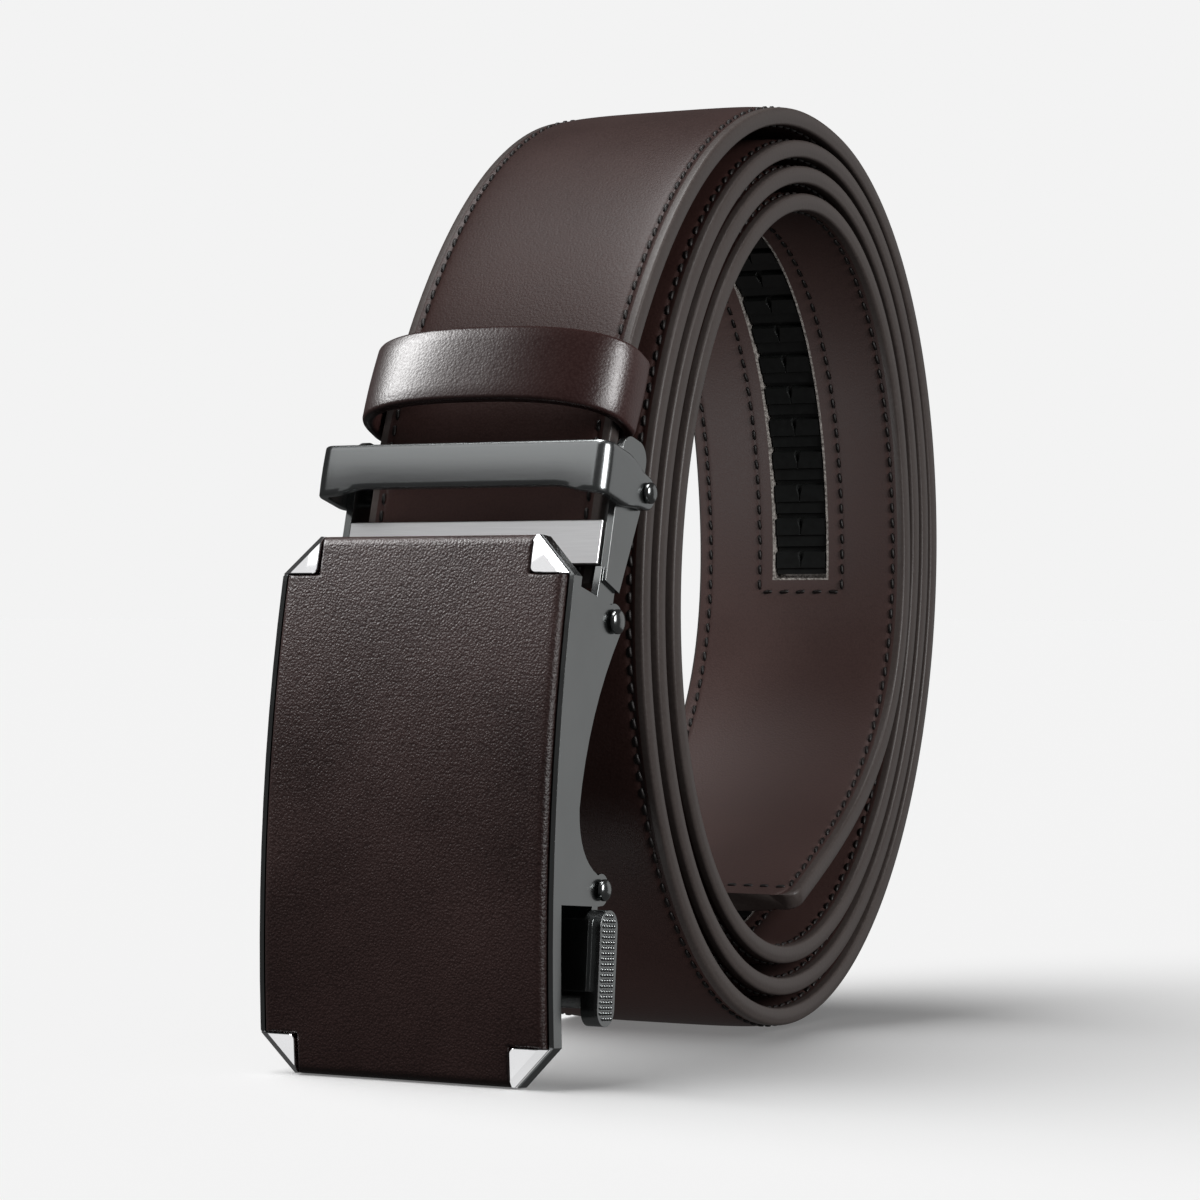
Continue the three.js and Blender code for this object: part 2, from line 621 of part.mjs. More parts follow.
const bailOuterBlock = clampSlab(
  bailRound(bailOuter, BAIL_REACH, BAIL_CORNER), -BAIL_REACH, BAIL_REACH,
);
const bailInnerBlock = clampSlab(
  bailRound(bailInner, BAIL_REACH - BAIL_THICKNESS, BAIL_CORNER - BAIL_THICKNESS),
  -BAIL_REACH - OVERCUT, BAIL_REACH + OVERCUT,
);
const bail = plate(clamp, bailSide, -bailOuter, bailOuter)
  .intersect(bailOuterBlock)
  .subtract(bailInnerBlock);
const bailBore = hole(clamp, 0, 0, CLAMP_PIN_RADIUS + FIT_GAP, buckleOuter + OVERCUT);
addMesh('bail', toGeometry(bail.subtract(bailBore)), gunmetal);

// Jaw: a toothed cam on the clamp pin that presses the strap from behind
const jawShape = new THREE.Shape().absarc(0, 0, JAW_RADIUS, -Math.PI / 2, Math.PI / 2);
for (let tooth = 0; tooth < JAW_TEETH; tooth += 1) {
  const from = (-JAW_REACH * tooth) / JAW_TEETH;
  const to = (-JAW_REACH * (tooth + 1)) / JAW_TEETH;
  jawShape.lineTo(THREE.MathUtils.lerp(from, to, JAW_TOOTH_FLAT), JAW_RADIUS);
  jawShape.lineTo(to, JAW_RADIUS * JAW_ROOT);
}
jawShape.lineTo(-JAW_REACH, -JAW_RADIUS * JAW_CHIN);
jawShape.holes.push(disc(0, 0, CLAMP_PIN_RADIUS + FIT_GAP));
const jawHalf = clampInner - FIT_GAP;
addMesh('clamp_jaw', toGeometry(plate(clamp, jawShape, -jawHalf, jawHalf)), gunmetal);

// Pins with domed heads outside the ears
function pin(name, centreY, centreZ, radius, headRadius) {
  const headFoot = buckleOuter + FIT_GAP;
  const side = [
    [radius, headFoot],
    [headRadius, headFoot],
    ...HEAD_STEPS.map(([wide, high]) => [headRadius * wide, headFoot + HEAD_HEIGHT * high]),
    [0, headFoot + HEAD_HEIGHT],
  ];
  const profile = [...side.map(([r, x]) => [r, -x]).reverse(), ...side];
  const points = profile.map(([r, x]) => new THREE.Vector2(r, x));
  const geometry = new THREE.LatheGeometry(points, ROUND_SIDES);
  geometry.rotateZ(-Math.PI / 2);
  const mesh = addMesh(name, toGeometry(toSolid(geometry)), gunmetal);
  mesh.position.set(0, centreY, centreZ);
}

pin('clamp_pin', clampPinY, clampPinZ, CLAMP_PIN_RADIUS, CLAMP_HEAD_RADIUS);
pin('hinge_pin', hingeY, hingeZ, HINGE_PIN_RADIUS, HINGE_HEAD_RADIUS);
const [leverY, leverZ] = buckle.place(LEVER_HEIGHT, -LEVER_BEHIND);
pin('lever_pin', leverY, leverZ, LEVER_PIN_RADIUS, LEVER_HEAD_RADIUS);

// Buckle

function bow(height) {
  const share = (2 * height) / BUCKLE_HEIGHT - 1;
  return BUCKLE_BOW * (1 - share * share);
}

// A slab that follows the buckle's bow; its section is drawn in (x, depth below the face).
const BOW_STEPS = 12;
const WALL_STEPS = 4;
function bowedSlab(section, from, to) {
  const rings = [];
  for (let step = 0; step <= BOW_STEPS; step += 1) {
    const height = THREE.MathUtils.lerp(from, to, step / BOW_STEPS);
    rings.push(section.map(([across, out]) => [
      across, ...buckle.place(height, bow(height) + out),
    ]));
  }
  return toSolid(loft(rings, section));
}

// A prism square to the buckle's face, its outline drawn in (x, height).
function facePrism(outline) {
  const deep = 4 * TRAY_DEPTH;
  const flat = outline.map(([across, height]) => [across, height]);
  const rings = [-deep, deep].map((out) => outline.map(([across, height]) => [
    across, ...buckle.place(height, out),
  ]));
  return toSolid(loft(rings, flat));
}

function octagon(half, foot, top, chamfer) {
  return [
    [-half + chamfer, foot], [half - chamfer, foot], [half, foot + chamfer],
    [half, top - chamfer], [half - chamfer, top], [-half + chamfer, top],
    [-half, top - chamfer], [-half, foot + chamfer],
  ];
}

const trayOutline = facePrism(octagon(buckleOuter, 0, BUCKLE_HEIGHT, CORNER_CUT));
const trayBlock = bowedSlab(bar(buckleOuter, -TRAY_DEPTH, -LIP_RECESS), 0, BUCKLE_HEIGHT);
const recessHalf = buckleOuter - LIP_WIDTH;
const recessBlock = bowedSlab(
  bar(recessHalf, TRAY_FLOOR - TRAY_DEPTH, OVERCUT), -OVERCUT, BUCKLE_HEIGHT + OVERCUT,
);
const lipInside = facePrism(octagon(
  recessHalf, -OVERCUT, BUCKLE_HEIGHT + OVERCUT, CORNER_CUT + LIP_CORNER * LIP_WIDTH,
));
const tray = trayBlock.intersect(trayOutline).subtract(recessBlock.intersect(lipInside));

// Side walls: an ear for the hinge pin above, a hollow back edge, an ear for the lever pin below
const trayBack = (height) => bow(height) - TRAY_DEPTH + WALL_ROOT;
const wallShape = new THREE.Shape()
  .moveTo(WALL_FOOT, -LEVER_BEHIND + EAR_RADIUS * WAIST_HOLLOW_LOW)
  .lineTo(WALL_FOOT, trayBack(WALL_FOOT));
const wallTop = HINGE_HEIGHT + WALL_HEAD;
for (let step = 1; step <= WALL_STEPS; step += 1) {
  const height = THREE.MathUtils.lerp(WALL_FOOT, wallTop, step / WALL_STEPS);
  wallShape.lineTo(height, trayBack(height));
}
const waist = new THREE.Vector2(WALL_WAIST_HEIGHT, -WALL_WAIST_BEHIND);
const leverEar = EAR_RADIUS * LEVER_EAR_SHARE;
wallShape
  .lineTo(
    HINGE_HEIGHT + EAR_RADIUS * EAR_SHOULDER_UP, -HINGE_BEHIND + EAR_RADIUS * EAR_SHOULDER_OUT,
  )
  .absarc(HINGE_HEIGHT, -HINGE_BEHIND, EAR_RADIUS, EAR_ARC_START, HINGE_EAR_ARC_END, true)
  .quadraticCurveTo(
    (waist.x + HINGE_HEIGHT) / 2, waist.y - WAIST_HOLLOW, waist.x, waist.y,
  )
  .quadraticCurveTo(
    THREE.MathUtils.lerp(waist.x, LEVER_HEIGHT, WAIST_LOW_SHARE), waist.y - WAIST_HOLLOW_LOW,
    LEVER_HEIGHT + leverEar * EAR_SHOULDER_UP, -LEVER_BEHIND + EAR_RADIUS * EAR_SHOULDER_OUT,
  )
  .absarc(LEVER_HEIGHT, -LEVER_BEHIND, leverEar, EAR_ARC_START, LEVER_EAR_ARC_END, true);
const sideWalls = bothSides(buckle, wallShape, buckleInner, buckleOuter);
const buckleFrame = cut(tray.add(sideWalls), [
  hole(buckle, HINGE_HEIGHT, -HINGE_BEHIND, HINGE_PIN_RADIUS + FIT_GAP, buckleOuter + OVERCUT),
  hole(buckle, LEVER_HEIGHT, -LEVER_BEHIND, LEVER_PIN_RADIUS + FIT_GAP, buckleOuter + OVERCUT),
]);
addMesh('buckle_frame', toGeometry(buckleFrame), gunmetal);

// Leather-covered panel: rounded along its sides, with a notch for a cap in each corner
const panelHalf = recessHalf - FIT_GAP;
const panelBack = TRAY_FLOOR - TRAY_DEPTH + FIT_GAP;
const panelBend = PANEL_EDGE * (1 - Math.SQRT1_2); // the middle of the rounding
const panelSection = [
  [-panelHalf, panelBack], [panelHalf, panelBack],
  [panelHalf, -PANEL_EDGE], [panelHalf - panelBend, -panelBend],
  [panelHalf - PANEL_EDGE, 0], [-panelHalf + PANEL_EDGE, 0],
  [-panelHalf + panelBend, -panelBend], [-panelHalf, -PANEL_EDGE],
];
const corners = [
  { name: 'cap_top_left', side: -1, up: 1 },
  { name: 'cap_top_right', side: 1, up: 1 },
  { name: 'cap_bottom_left', side: -1, up: -1 },
  { name: 'cap_bottom_right', side: 1, up: -1 },
];

// A corner's outline, drawn inwards from the corner along X and along the height
function cornerOutline({ side, up }, inwards) {
  const height = up > 0 ? BUCKLE_HEIGHT : 0;
  return inwards.map(([across, along]) => [side * (buckleOuter - across), height - up * along]);
}

const rim = buckleOuter - panelHalf;
const notchIn = rim + CAP_SIZE + FIT_GAP;
const notchDown = CAP_SIZE + FIT_GAP;
const notches = corners.map((corner) => facePrism(cornerOutline(corner, [
  [-1, -1], [notchIn, -1], [notchIn, notchDown], [-1, notchDown],
])));
const panelBlock = bowedSlab(panelSection, 0, BUCKLE_HEIGHT);
addMesh('face_panel', toGeometry(cut(panelBlock, notches)), leather);

// Corner caps: bevelled triangles that fill the notches
for (const corner of corners) {
  const inner = rim + CAP_SIZE;
  const triangle = (inset) => facePrism(cornerOutline(corner, [
    [rim + inset, CAP_SIZE], [inner, inset], [inner, CAP_SIZE],
  ]));
  const body = triangle(CAP_CUT);
  const crownOutline = triangle(CAP_CUT + CAP_BEVEL);
  const low = bowedSlab(bar(panelHalf, panelBack, CAP_PROUD - CAP_BEVEL_DROP), 0, BUCKLE_HEIGHT);
  const high = bowedSlab(bar(panelHalf, panelBack, CAP_PROUD), 0, BUCKLE_HEIGHT);
  const cap = low.intersect(body).add(high.intersect(crownOutline));
  addMesh(corner.name, toGeometry(cap), chrome);
}

// Release lever: a barrel on the lever pin, a toothed plate below it and a tab beside the wall
const leverHalf = buckleInner - FIT_GAP;
const [leverW, leverF] = [LEVER_HEIGHT, -LEVER_BEHIND];
const leverBack = leverF - LEVER_BARREL;
const leverPlateShape = new THREE.Shape()
  .moveTo(leverW, leverBack)
  .lineTo(leverW - LEVER_REACH, leverBack)
  .lineTo(leverW - LEVER_REACH, leverBack + LEVER_HOOK)
  .lineTo(leverW - LEVER_REACH + LEVER_PLATE, leverBack + LEVER_PLATE)
  .lineTo(leverW, leverBack + LEVER_PLATE);
const tabMiddle = leverW - TAB_DROP;
const tabShape = roundedBox(
  tabMiddle - TAB_HEIGHT / 2, leverF + TAB_FORWARD - TAB_DEPTH / 2,
  tabMiddle + TAB_HEIGHT / 2, leverF + TAB_FORWARD + TAB_DEPTH / 2, TAB_ROUNDING,
);
const tabInner = buckleOuter + FIT_GAP;
const armTop = WALL_FOOT - ARM_BELOW_WALL;
const armShape = new THREE.Shape()
  .moveTo(armTop - ARM_HEIGHT, leverBack)
  .lineTo(armTop, leverBack)
  .lineTo(armTop, leverBack + ARM_DEPTH)
  .lineTo(armTop - ARM_HEIGHT, leverBack + ARM_DEPTH);
const releaseLever = cut(
  unite([
    plate(buckle, disc(leverW, leverF, LEVER_BARREL), -leverHalf, leverHalf),
    plate(buckle, leverPlateShape, -leverHalf, leverHalf),
    plate(buckle, armShape, leverHalf - SIDE_WALL, tabInner + TAB_THICKNESS / 2),
    plate(buckle, tabShape, tabInner, tabInner + TAB_THICKNESS),
  ]),
  [hole(buckle, leverW, leverF, LEVER_PIN_RADIUS + FIT_GAP, buckleOuter + OVERCUT)],
);
addMesh('release_lever', toGeometry(releaseLever), gunmetal);

// The origin is the middle of the belt's footprint, on the floor.
const bounds = new THREE.Box3().setFromObject(belt);
const centre = bounds.getCenter(new THREE.Vector3());
belt.position.set(-centre.x, -centre.y, -bounds.min.z);
belt.updateMatrixWorld(true);

export default belt;
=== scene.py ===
# %% [markdown]
# # A ratchet belt, coiled and standing on its rim
# The belt's hard parts come ready-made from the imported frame: their places, sizes and joints are
# fixed. This lesson dresses them. Flat machined parts keep their own solids and get bevels and a
# finish; the leather, the thread, the toothed track, the bail, the rivets and the corner caps are
# new surfaces.

# %% Load the frame
import bpy
import numpy as np
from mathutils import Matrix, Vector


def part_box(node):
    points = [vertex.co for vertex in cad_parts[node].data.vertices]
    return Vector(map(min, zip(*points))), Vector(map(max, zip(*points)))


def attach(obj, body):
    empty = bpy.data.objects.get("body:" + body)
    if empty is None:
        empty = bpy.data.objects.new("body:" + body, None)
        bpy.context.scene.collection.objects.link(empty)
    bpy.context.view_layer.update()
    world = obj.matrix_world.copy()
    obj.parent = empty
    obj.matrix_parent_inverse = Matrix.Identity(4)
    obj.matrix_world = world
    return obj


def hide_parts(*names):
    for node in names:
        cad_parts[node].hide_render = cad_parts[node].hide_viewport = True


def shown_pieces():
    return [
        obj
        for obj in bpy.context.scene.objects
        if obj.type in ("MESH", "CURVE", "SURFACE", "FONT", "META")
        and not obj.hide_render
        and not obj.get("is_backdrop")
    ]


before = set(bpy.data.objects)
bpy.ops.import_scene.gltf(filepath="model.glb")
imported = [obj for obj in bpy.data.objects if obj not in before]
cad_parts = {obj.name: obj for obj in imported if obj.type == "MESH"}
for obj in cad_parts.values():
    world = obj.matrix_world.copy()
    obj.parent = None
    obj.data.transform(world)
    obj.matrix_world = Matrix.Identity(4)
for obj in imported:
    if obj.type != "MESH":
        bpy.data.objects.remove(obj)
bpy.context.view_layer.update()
scene = bpy.context.scene
scene.view_settings.view_transform = "Standard"

# %% [markdown]
# ## Units
# All sizes below are written in millimetres, as on a belt maker's drawing. One factor turns them
# into Blender's metres at the moment a mesh is made.

# %% Units and the places that the frame gives
MM = 0.001
HAIR = 0.01  # less than shows, more than rounding can move a point


def box_mm(node):
    """Lowest and highest corner of a CAD node, in millimetres."""
    low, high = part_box(node)
    return np.array(low) / MM, np.array(high) / MM


def middle_mm(node):
    """Middle of a CAD node's box, in millimetres."""
    low, high = box_mm(node)
    return (low + high) / 2


CENTRE_X = middle_mm("strap")[0]
clamp_pin = middle_mm("clamp_pin")
hinge_pin = middle_mm("hinge_pin")
print("clamp pin", clamp_pin.round(2), "hinge pin", hinge_pin.round(2))

# %% [markdown]
# ## Camera
# The photograph was taken with a long lens from 28 degrees to the right of the front, almost level
# with the belt's middle. A long lens keeps the two sides of the buckle almost parallel.

# %% Camera
CAMERA_TURN_DEG = 28
CAMERA_PLACE = (240.05, -465.74, 59.7)
LENS = 110.6
SENSOR_WIDTH = 36
LENS_SHIFT = 10 / 1200  # the photograph's horizon lies 10 pixels below its middle

camera_data = bpy.data.cameras.new("camera")
camera_data.lens = LENS
camera_data.sensor_width = SENSOR_WIDTH
camera_data.shift_y = LENS_SHIFT
camera_data.clip_start = 0.01
camera_data.clip_end = 50
camera = bpy.data.objects.new("camera", camera_data)
camera.location = [value * MM for value in CAMERA_PLACE]
camera.rotation_euler = (np.pi / 2, 0, np.radians(CAMERA_TURN_DEG))
scene.collection.objects.link(camera)
scene.camera = camera
print("camera at", CAMERA_PLACE)

# %% [markdown]
# ## From arrays to meshes
# Every new piece is a grid of points worked out with numpy: rows along the piece, columns round or
# across it. One helper joins the grid's cells into faces, closes the ends and keeps the row and
# column numbers, so that a pattern or a second material can follow the surface.

# %% Grids into meshes


def grid_faces(rows, columns, round_rows=False, round_columns=False):
    """Faces of a grid: cell (r, c) joins four neighbouring points; a round grid joins last to first."""
    last_row = rows if round_rows else rows - 1
    last_column = columns if round_columns else columns - 1
    r, c = np.meshgrid(np.arange(last_row), np.arange(last_column), indexing="ij")
    r, c = r.ravel(), c.ravel()
    down, right = (r + 1) % rows, (c + 1) % columns
    return np.stack([r * columns + c, down * columns + c,
                     down * columns + right, r * columns + right], axis=1)


def turn_outwards(mesh):
    """Turns the faces round where the closed mesh's signed volume is negative."""
    mesh.calc_loop_triangles()
    corners = np.empty(3 * len(mesh.loop_triangles), dtype=np.int32)
    mesh.loop_triangles.foreach_get("vertices", corners)
    places = np.empty(3 * len(mesh.vertices))
    mesh.vertices.foreach_get("co", places)
    a, b, c = np.moveaxis(places.reshape(-1, 3)[corners].reshape(-1, 3, 3), 1, 0)
    if np.einsum("ij,ij->", a, np.cross(b, c)) < 0:
        mesh.flip_normals()


def make_piece(name, points, faces, material, body, smooth_deg=40):
    """A mesh object from points in millimetres and faces; edges sharper than smooth_deg stay sharp."""
    mesh = bpy.data.meshes.new(name)
    mesh.from_pydata((np.asarray(points).reshape(-1, 3) * MM).tolist(), [], faces)
    mesh.validate()
    turn_outwards(mesh)
    mesh.shade_smooth()
    mesh.set_sharp_from_angle(angle=np.radians(smooth_deg))
    mesh.materials.append(material)
    piece = bpy.data.objects.new(name, mesh)
    scene.collection.objects.link(piece)
    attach(piece, body)
    print(name, len(mesh.vertices), "points", len(mesh.polygons), "faces")
    return piece


def closed_tube(grid):
    """Faces of a tube whose columns run round it and whose first and last rows are filled."""
    rows, columns = grid.shape[:2]
    faces = grid_faces(rows, columns, round_columns=True).tolist()
    faces.append(list(range(columns)))
    faces.append(list(range(rows * columns - 1, (rows - 1) * columns - 1, -1)))
    return faces


def add_uv(piece, along, across):
    """Writes a UV map from one pair of values for each point of the mesh."""
    mesh = piece.data
    corners = np.empty(len(mesh.loops), dtype=np.int32)
    mesh.loops.foreach_get("vertex_index", corners)
    layer = mesh.uv_layers.new(name="UVMap")
    pair = np.stack([np.ravel(along)[corners], np.ravel(across)[corners]], axis=1)
    layer.uv.foreach_set("vector", pair.ravel())


# %% [markdown]
# ## The path of the strap
# Seen from the side the strap is one long line: up out of the clamp, over the top, a little over
# three turns of a tilted oval that shrinks by the strap's own thickness each time, and a tail that
# falls away inside. A spiral formula with two smooth bends draws it with few numbers.

# %% Strap path
STRAP_WIDTH = 35
EDGE_THICKNESS = 2.5
CROWN_RISE = 0.5
COIL_HALF_DEPTH = 51.5
COIL_HALF_HEIGHT = 66.4
COIL_TILT_DEG = 8.5
TURN_GAP = 0.65  # between two turns, and how much it grows with each turn
GAP_GROWTH = 0.12
DRIFT_BACK = 0.45  # how far each turn's middle lies from that of the turn round it
DRIFT_UP = 0.35
COIL_START_DEG = 96
COIL_END_DEG = 1235
TIP_DEG = 1340.6
TIP_LIFT = 2.6  # the free end hovers this far above where the spiral would put it
TAIL_END_DEG = 27
CLAMP_LEAN_DEG = 15.5
RIM_BEFORE_PIN = 4.5
CLAMP_GRIP = 13.4  # the clamped length below the pin, and the straight one above
CLAMP_MOUTH = 4.7
LEAD_HANDLES = (0.143, 0.541)  # of the bends from the clamp and to the tip
TAIL_HANDLES = (0.594, 0.287)


def coil_point(degrees):
    """Oval spiral: half axes shrink by one layer and its gap a turn, the whole oval tilted back."""
    turns = (np.asarray(degrees, float) - 90) / 360
    pitch = EDGE_THICKNESS + CROWN_RISE + TURN_GAP
    inset = pitch * turns + GAP_GROWTH * turns * np.abs(turns)
    angle = np.radians(degrees)
    back = -(COIL_HALF_DEPTH - inset) * np.cos(angle)
    up = (COIL_HALF_HEIGHT - inset) * np.sin(angle)
    tilt = np.radians(COIL_TILT_DEG)
    return np.stack([DRIFT_BACK * turns + back * np.cos(tilt) + up * np.sin(tilt),
                     DRIFT_UP * turns - back * np.sin(tilt) + up * np.cos(tilt)], axis=-1)


def bend(start, start_way, end, end_way, handles, count=300):
    """A cubic Bezier bend; each handle's length is a share of the distance between the ends."""
    chord = np.linalg.norm(end - start)
    first = start + start_way * handles[0] * chord
    second = end - end_way * handles[1] * chord
    t = np.linspace(0, 1, count)[:, None]
    return ((1 - t) ** 3 * start + 3 * (1 - t) ** 2 * t * first
            + 3 * (1 - t) * t ** 2 * second + t ** 3 * end)


def unit(vector):
    """The same direction, made one long."""
    return vector / np.linalg.norm(vector)


coil = coil_point(np.linspace(COIL_START_DEG, COIL_END_DEG, 4000))
shift = np.array([box_mm("strap")[1][1] - CROWN_RISE - coil[:, 0].max(),
                  CROWN_RISE - coil[:, 1].min()])
coil += shift

clamp_lean = np.radians(CLAMP_LEAN_DEG)
clamp_down = np.array([-np.sin(clamp_lean), -np.cos(clamp_lean)])
clamp_out = np.array([-np.cos(clamp_lean), np.sin(clamp_lean)])


def clamp_place(down, out):
    """A point in the side view, measured from the clamp pin down the strap and out of it."""
    return clamp_pin[1:] + down * clamp_down + out * clamp_out


strap_end = clamp_place(CLAMP_GRIP, RIM_BEFORE_PIN)
mouth = clamp_place(-CLAMP_MOUTH, RIM_BEFORE_PIN)
lead = bend(mouth, -clamp_down, coil[0], unit(coil[1] - coil[0]), LEAD_HANDLES)
under_tip = coil_point(TIP_DEG) + shift
along_tip = unit(coil_point(TIP_DEG + 1) - coil_point(TIP_DEG))
tip = under_tip + TIP_LIFT * np.array([along_tip[1], -along_tip[0]])
tail_slope = np.radians(TAIL_END_DEG)
tail = bend(coil[-1], unit(coil[-1] - coil[-2]), tip,
            np.array([-np.cos(tail_slope), -np.sin(tail_slope)]), TAIL_HANDLES)
straight = strap_end + (mouth - strap_end) * np.linspace(0, 1, 20)[:-1, None]
trail = np.concatenate([straight, lead[:-1], coil[:-1], tail])
reached = np.concatenate([[0], np.cumsum(np.linalg.norm(np.diff(trail, axis=0), axis=1))])
strap_length = reached[-1]
print("strap length", round(float(strap_length), 1), "mm")


def station(length):
    """Place and outward direction of the strap's outer face at lengths from its clamped end."""
    length = np.asarray(length, float)
    place = np.stack([np.interp(length, reached, trail[:, k]) for k in (0, 1)], axis=-1)
    step = 0.4
    ahead = np.stack([np.interp(length + step, reached, trail[:, k])
                      - np.interp(length - step, reached, trail[:, k]) for k in (0, 1)], axis=-1)
    ahead /= np.linalg.norm(ahead, axis=-1, keepdims=True)
    return place, np.stack([-ahead[..., 1], ahead[..., 0]], axis=-1)


def on_strap(length, across, out):
    """Points in space from lengths along the strap, distances from its middle and heights above it."""
    place, normal = station(length)
    yz = place + normal * np.asarray(out)[..., None]
    x = CENTRE_X + np.broadcast_to(across, yz.shape[:-1])
    return np.concatenate([x[..., None], yz], axis=-1)


# %% [markdown]
# ## Leather grain as a shared node group
# Leather shows on three pieces, each with its own scale: fine on the strap, coarser pebbles on the
# buckle's panel. The grain is a node group that puts out a height and a tone; every leather material
# places it with its own values. Cells of a Voronoi texture give the pebbles, a fine noise the
# wrinkles and a broad noise the clouds of lighter and darker leather.

# %% Node helpers and the grain group
WRINKLE_SHARE = 0.8  # of a pebble's height
TONE_OF_PEBBLES, TONE_OF_CLOUDS = 0.35, 0.65


def fed_node(tree, kind, vector, **values):
    """A node that reads a vector socket; values go on its inputs with those names."""
    node = tree.nodes.new(kind)
    tree.links.new(vector, node.inputs["Vector"])
    for label, value in values.items():
        node.inputs[label].default_value = value
    return node


def math_node(tree, operation, first, second):
    """One arithmetic step; each operand is a socket or a plain number."""
    node = tree.nodes.new("ShaderNodeMath")
    node.operation = operation
    for index, operand in enumerate((first, second)):
        if isinstance(operand, (int, float)):
            node.inputs[index].default_value = operand
        else:
            tree.links.new(operand, node.inputs[index])
    return node.outputs[0]


grain_group = bpy.data.node_groups.new("leather_grain", "ShaderNodeTree")
grain_group.interface.new_socket("Vector", in_out="INPUT", socket_type="NodeSocketVector")
for label, way in (("Pebbles", "INPUT"), ("Wrinkles", "INPUT"), ("Height", "OUTPUT"), ("Tone", "OUTPUT")):
    grain_group.interface.new_socket(label, in_out=way, socket_type="NodeSocketFloat")
grain_in = grain_group.nodes.new("NodeGroupInput")
grain_out = grain_group.nodes.new("NodeGroupOutput")
on_leather = grain_in.outputs["Vector"]
pebbles = fed_node(grain_group, "ShaderNodeTexVoronoi", on_leather)
pebbles.feature = "SMOOTH_F1"
pebbles.inputs["Smoothness"].default_value = 0.6
wrinkles = fed_node(grain_group, "ShaderNodeTexNoise", on_leather, Detail=5)
clouds = fed_node(grain_group, "ShaderNodeTexNoise", on_leather, Scale=55, Detail=3)
grain_group.links.new(grain_in.outputs["Pebbles"], pebbles.inputs["Scale"])
grain_group.links.new(grain_in.outputs["Wrinkles"], wrinkles.inputs["Scale"])
rounded = math_node(grain_group, "SUBTRACT", 1.0, pebbles.outputs["Distance"])
folded = math_node(grain_group, "MULTIPLY", wrinkles.outputs["Fac"], WRINKLE_SHARE)
height = math_node(grain_group, "ADD", rounded, folded)
grain_group.links.new(height, grain_out.inputs["Height"])
mottled = math_node(grain_group, "MULTIPLY", rounded, TONE_OF_PEBBLES)
cloudy = math_node(grain_group, "MULTIPLY", clouds.outputs["Fac"], TONE_OF_CLOUDS)
tone = math_node(grain_group, "ADD", mottled, cloudy)
grain_group.links.new(tone, grain_out.inputs["Tone"])
print("group", grain_group.name)

# %% [markdown]
# ## Leathers
# The strap's outer face, its lining, its painted rims, the keeper and the panel are one kind of
# finish with different numbers: two tones that the grain chooses between, a roughness that follows
# the tone, and the grain's height as a bump. So one function makes all five.

# %% Leather materials
TONE_FROM, TONE_TO = 0.3, 0.85  # the part of a pattern's range over which dark turns into light
ROUGH_SPREAD, ROUGH_BELOW = 0.25, 0.12  # roughness runs from this far below the value, over this range
GRAIN_STRENGTH = 0.6


def blank_material(name, roughness, metallic=0.0, specular=0.5):
    """A material with a Principled BSDF whose plain numbers sit on its own sockets."""
    material = bpy.data.materials.new(name)
    material.use_nodes = True
    shader = material.node_tree.nodes["Principled BSDF"]
    shader.inputs["Roughness"].default_value = roughness
    shader.inputs["Metallic"].default_value = metallic
    shader.inputs["Specular IOR Level"].default_value = specular
    return material, material.node_tree, shader


def two_tone(tree, factor, dark, light):
    """A colour between dark and light, chosen by factor from 0 to 1."""
    ramp = tree.nodes.new("ShaderNodeValToRGB")
    ramp.color_ramp.elements[0].color = (*dark, 1)
    ramp.color_ramp.elements[1].color = (*light, 1)
    ramp.color_ramp.elements[0].position = TONE_FROM
    ramp.color_ramp.elements[1].position = TONE_TO
    tree.links.new(factor, ramp.inputs["Fac"])
    return ramp.outputs["Color"]


def add_bump(tree, shader, height_socket, distance, strength):
    """Height in metres into the shader's normal."""
    bump = tree.nodes.new("ShaderNodeBump")
    bump.inputs["Strength"].default_value = strength
    bump.inputs["Distance"].default_value = distance
    tree.links.new(height_socket, bump.inputs["Height"])
    tree.links.new(bump.outputs["Normal"], shader.inputs["Normal"])


def leather(name, dark, light, pebble_scale, wrinkle_scale, depth, roughness, specular=0.35):
    """Grained leather: tone from the grain group, its height as bump, roughness varied by tone."""
    material, tree, shader = blank_material(name, roughness, specular=specular)
    place = tree.nodes.new("ShaderNodeTexCoord").outputs["Object"]
    grain = tree.nodes.new("ShaderNodeGroup")
    grain.node_tree = grain_group
    grain.inputs["Pebbles"].default_value = pebble_scale
    grain.inputs["Wrinkles"].default_value = wrinkle_scale
    tree.links.new(place, grain.inputs["Vector"])
    tree.links.new(two_tone(tree, grain.outputs["Tone"], dark, light), shader.inputs["Base Color"])
    rough = math_node(tree, "MULTIPLY", grain.outputs["Tone"], ROUGH_SPREAD)
    rough = math_node(tree, "ADD", rough, roughness - ROUGH_BELOW)
    tree.links.new(rough, shader.inputs["Roughness"])
    add_bump(tree, shader, grain.outputs["Height"], depth * MM, GRAIN_STRENGTH)
    return material


OUTER_DARK, OUTER_LIGHT = (0.024, 0.0105, 0.009), (0.04, 0.019, 0.0165)
# the keeper's two tones are a darker copy of the strap's leather: painted shade for the dark middle of its
# arch
KEEPER_SHADED_DARK, KEEPER_SHADED_LIGHT = (0.017, 0.0065, 0.006), (0.03, 0.0135, 0.012)
LINING_DARK, LINING_LIGHT = (0.042, 0.021, 0.0185), (0.064, 0.035, 0.031)
PANEL_DARK, PANEL_LIGHT = (0.011, 0.005, 0.0045), (0.032, 0.015, 0.0135)
RIM_DARK, RIM_LIGHT = (0.046, 0.036, 0.033), (0.066, 0.054, 0.05)

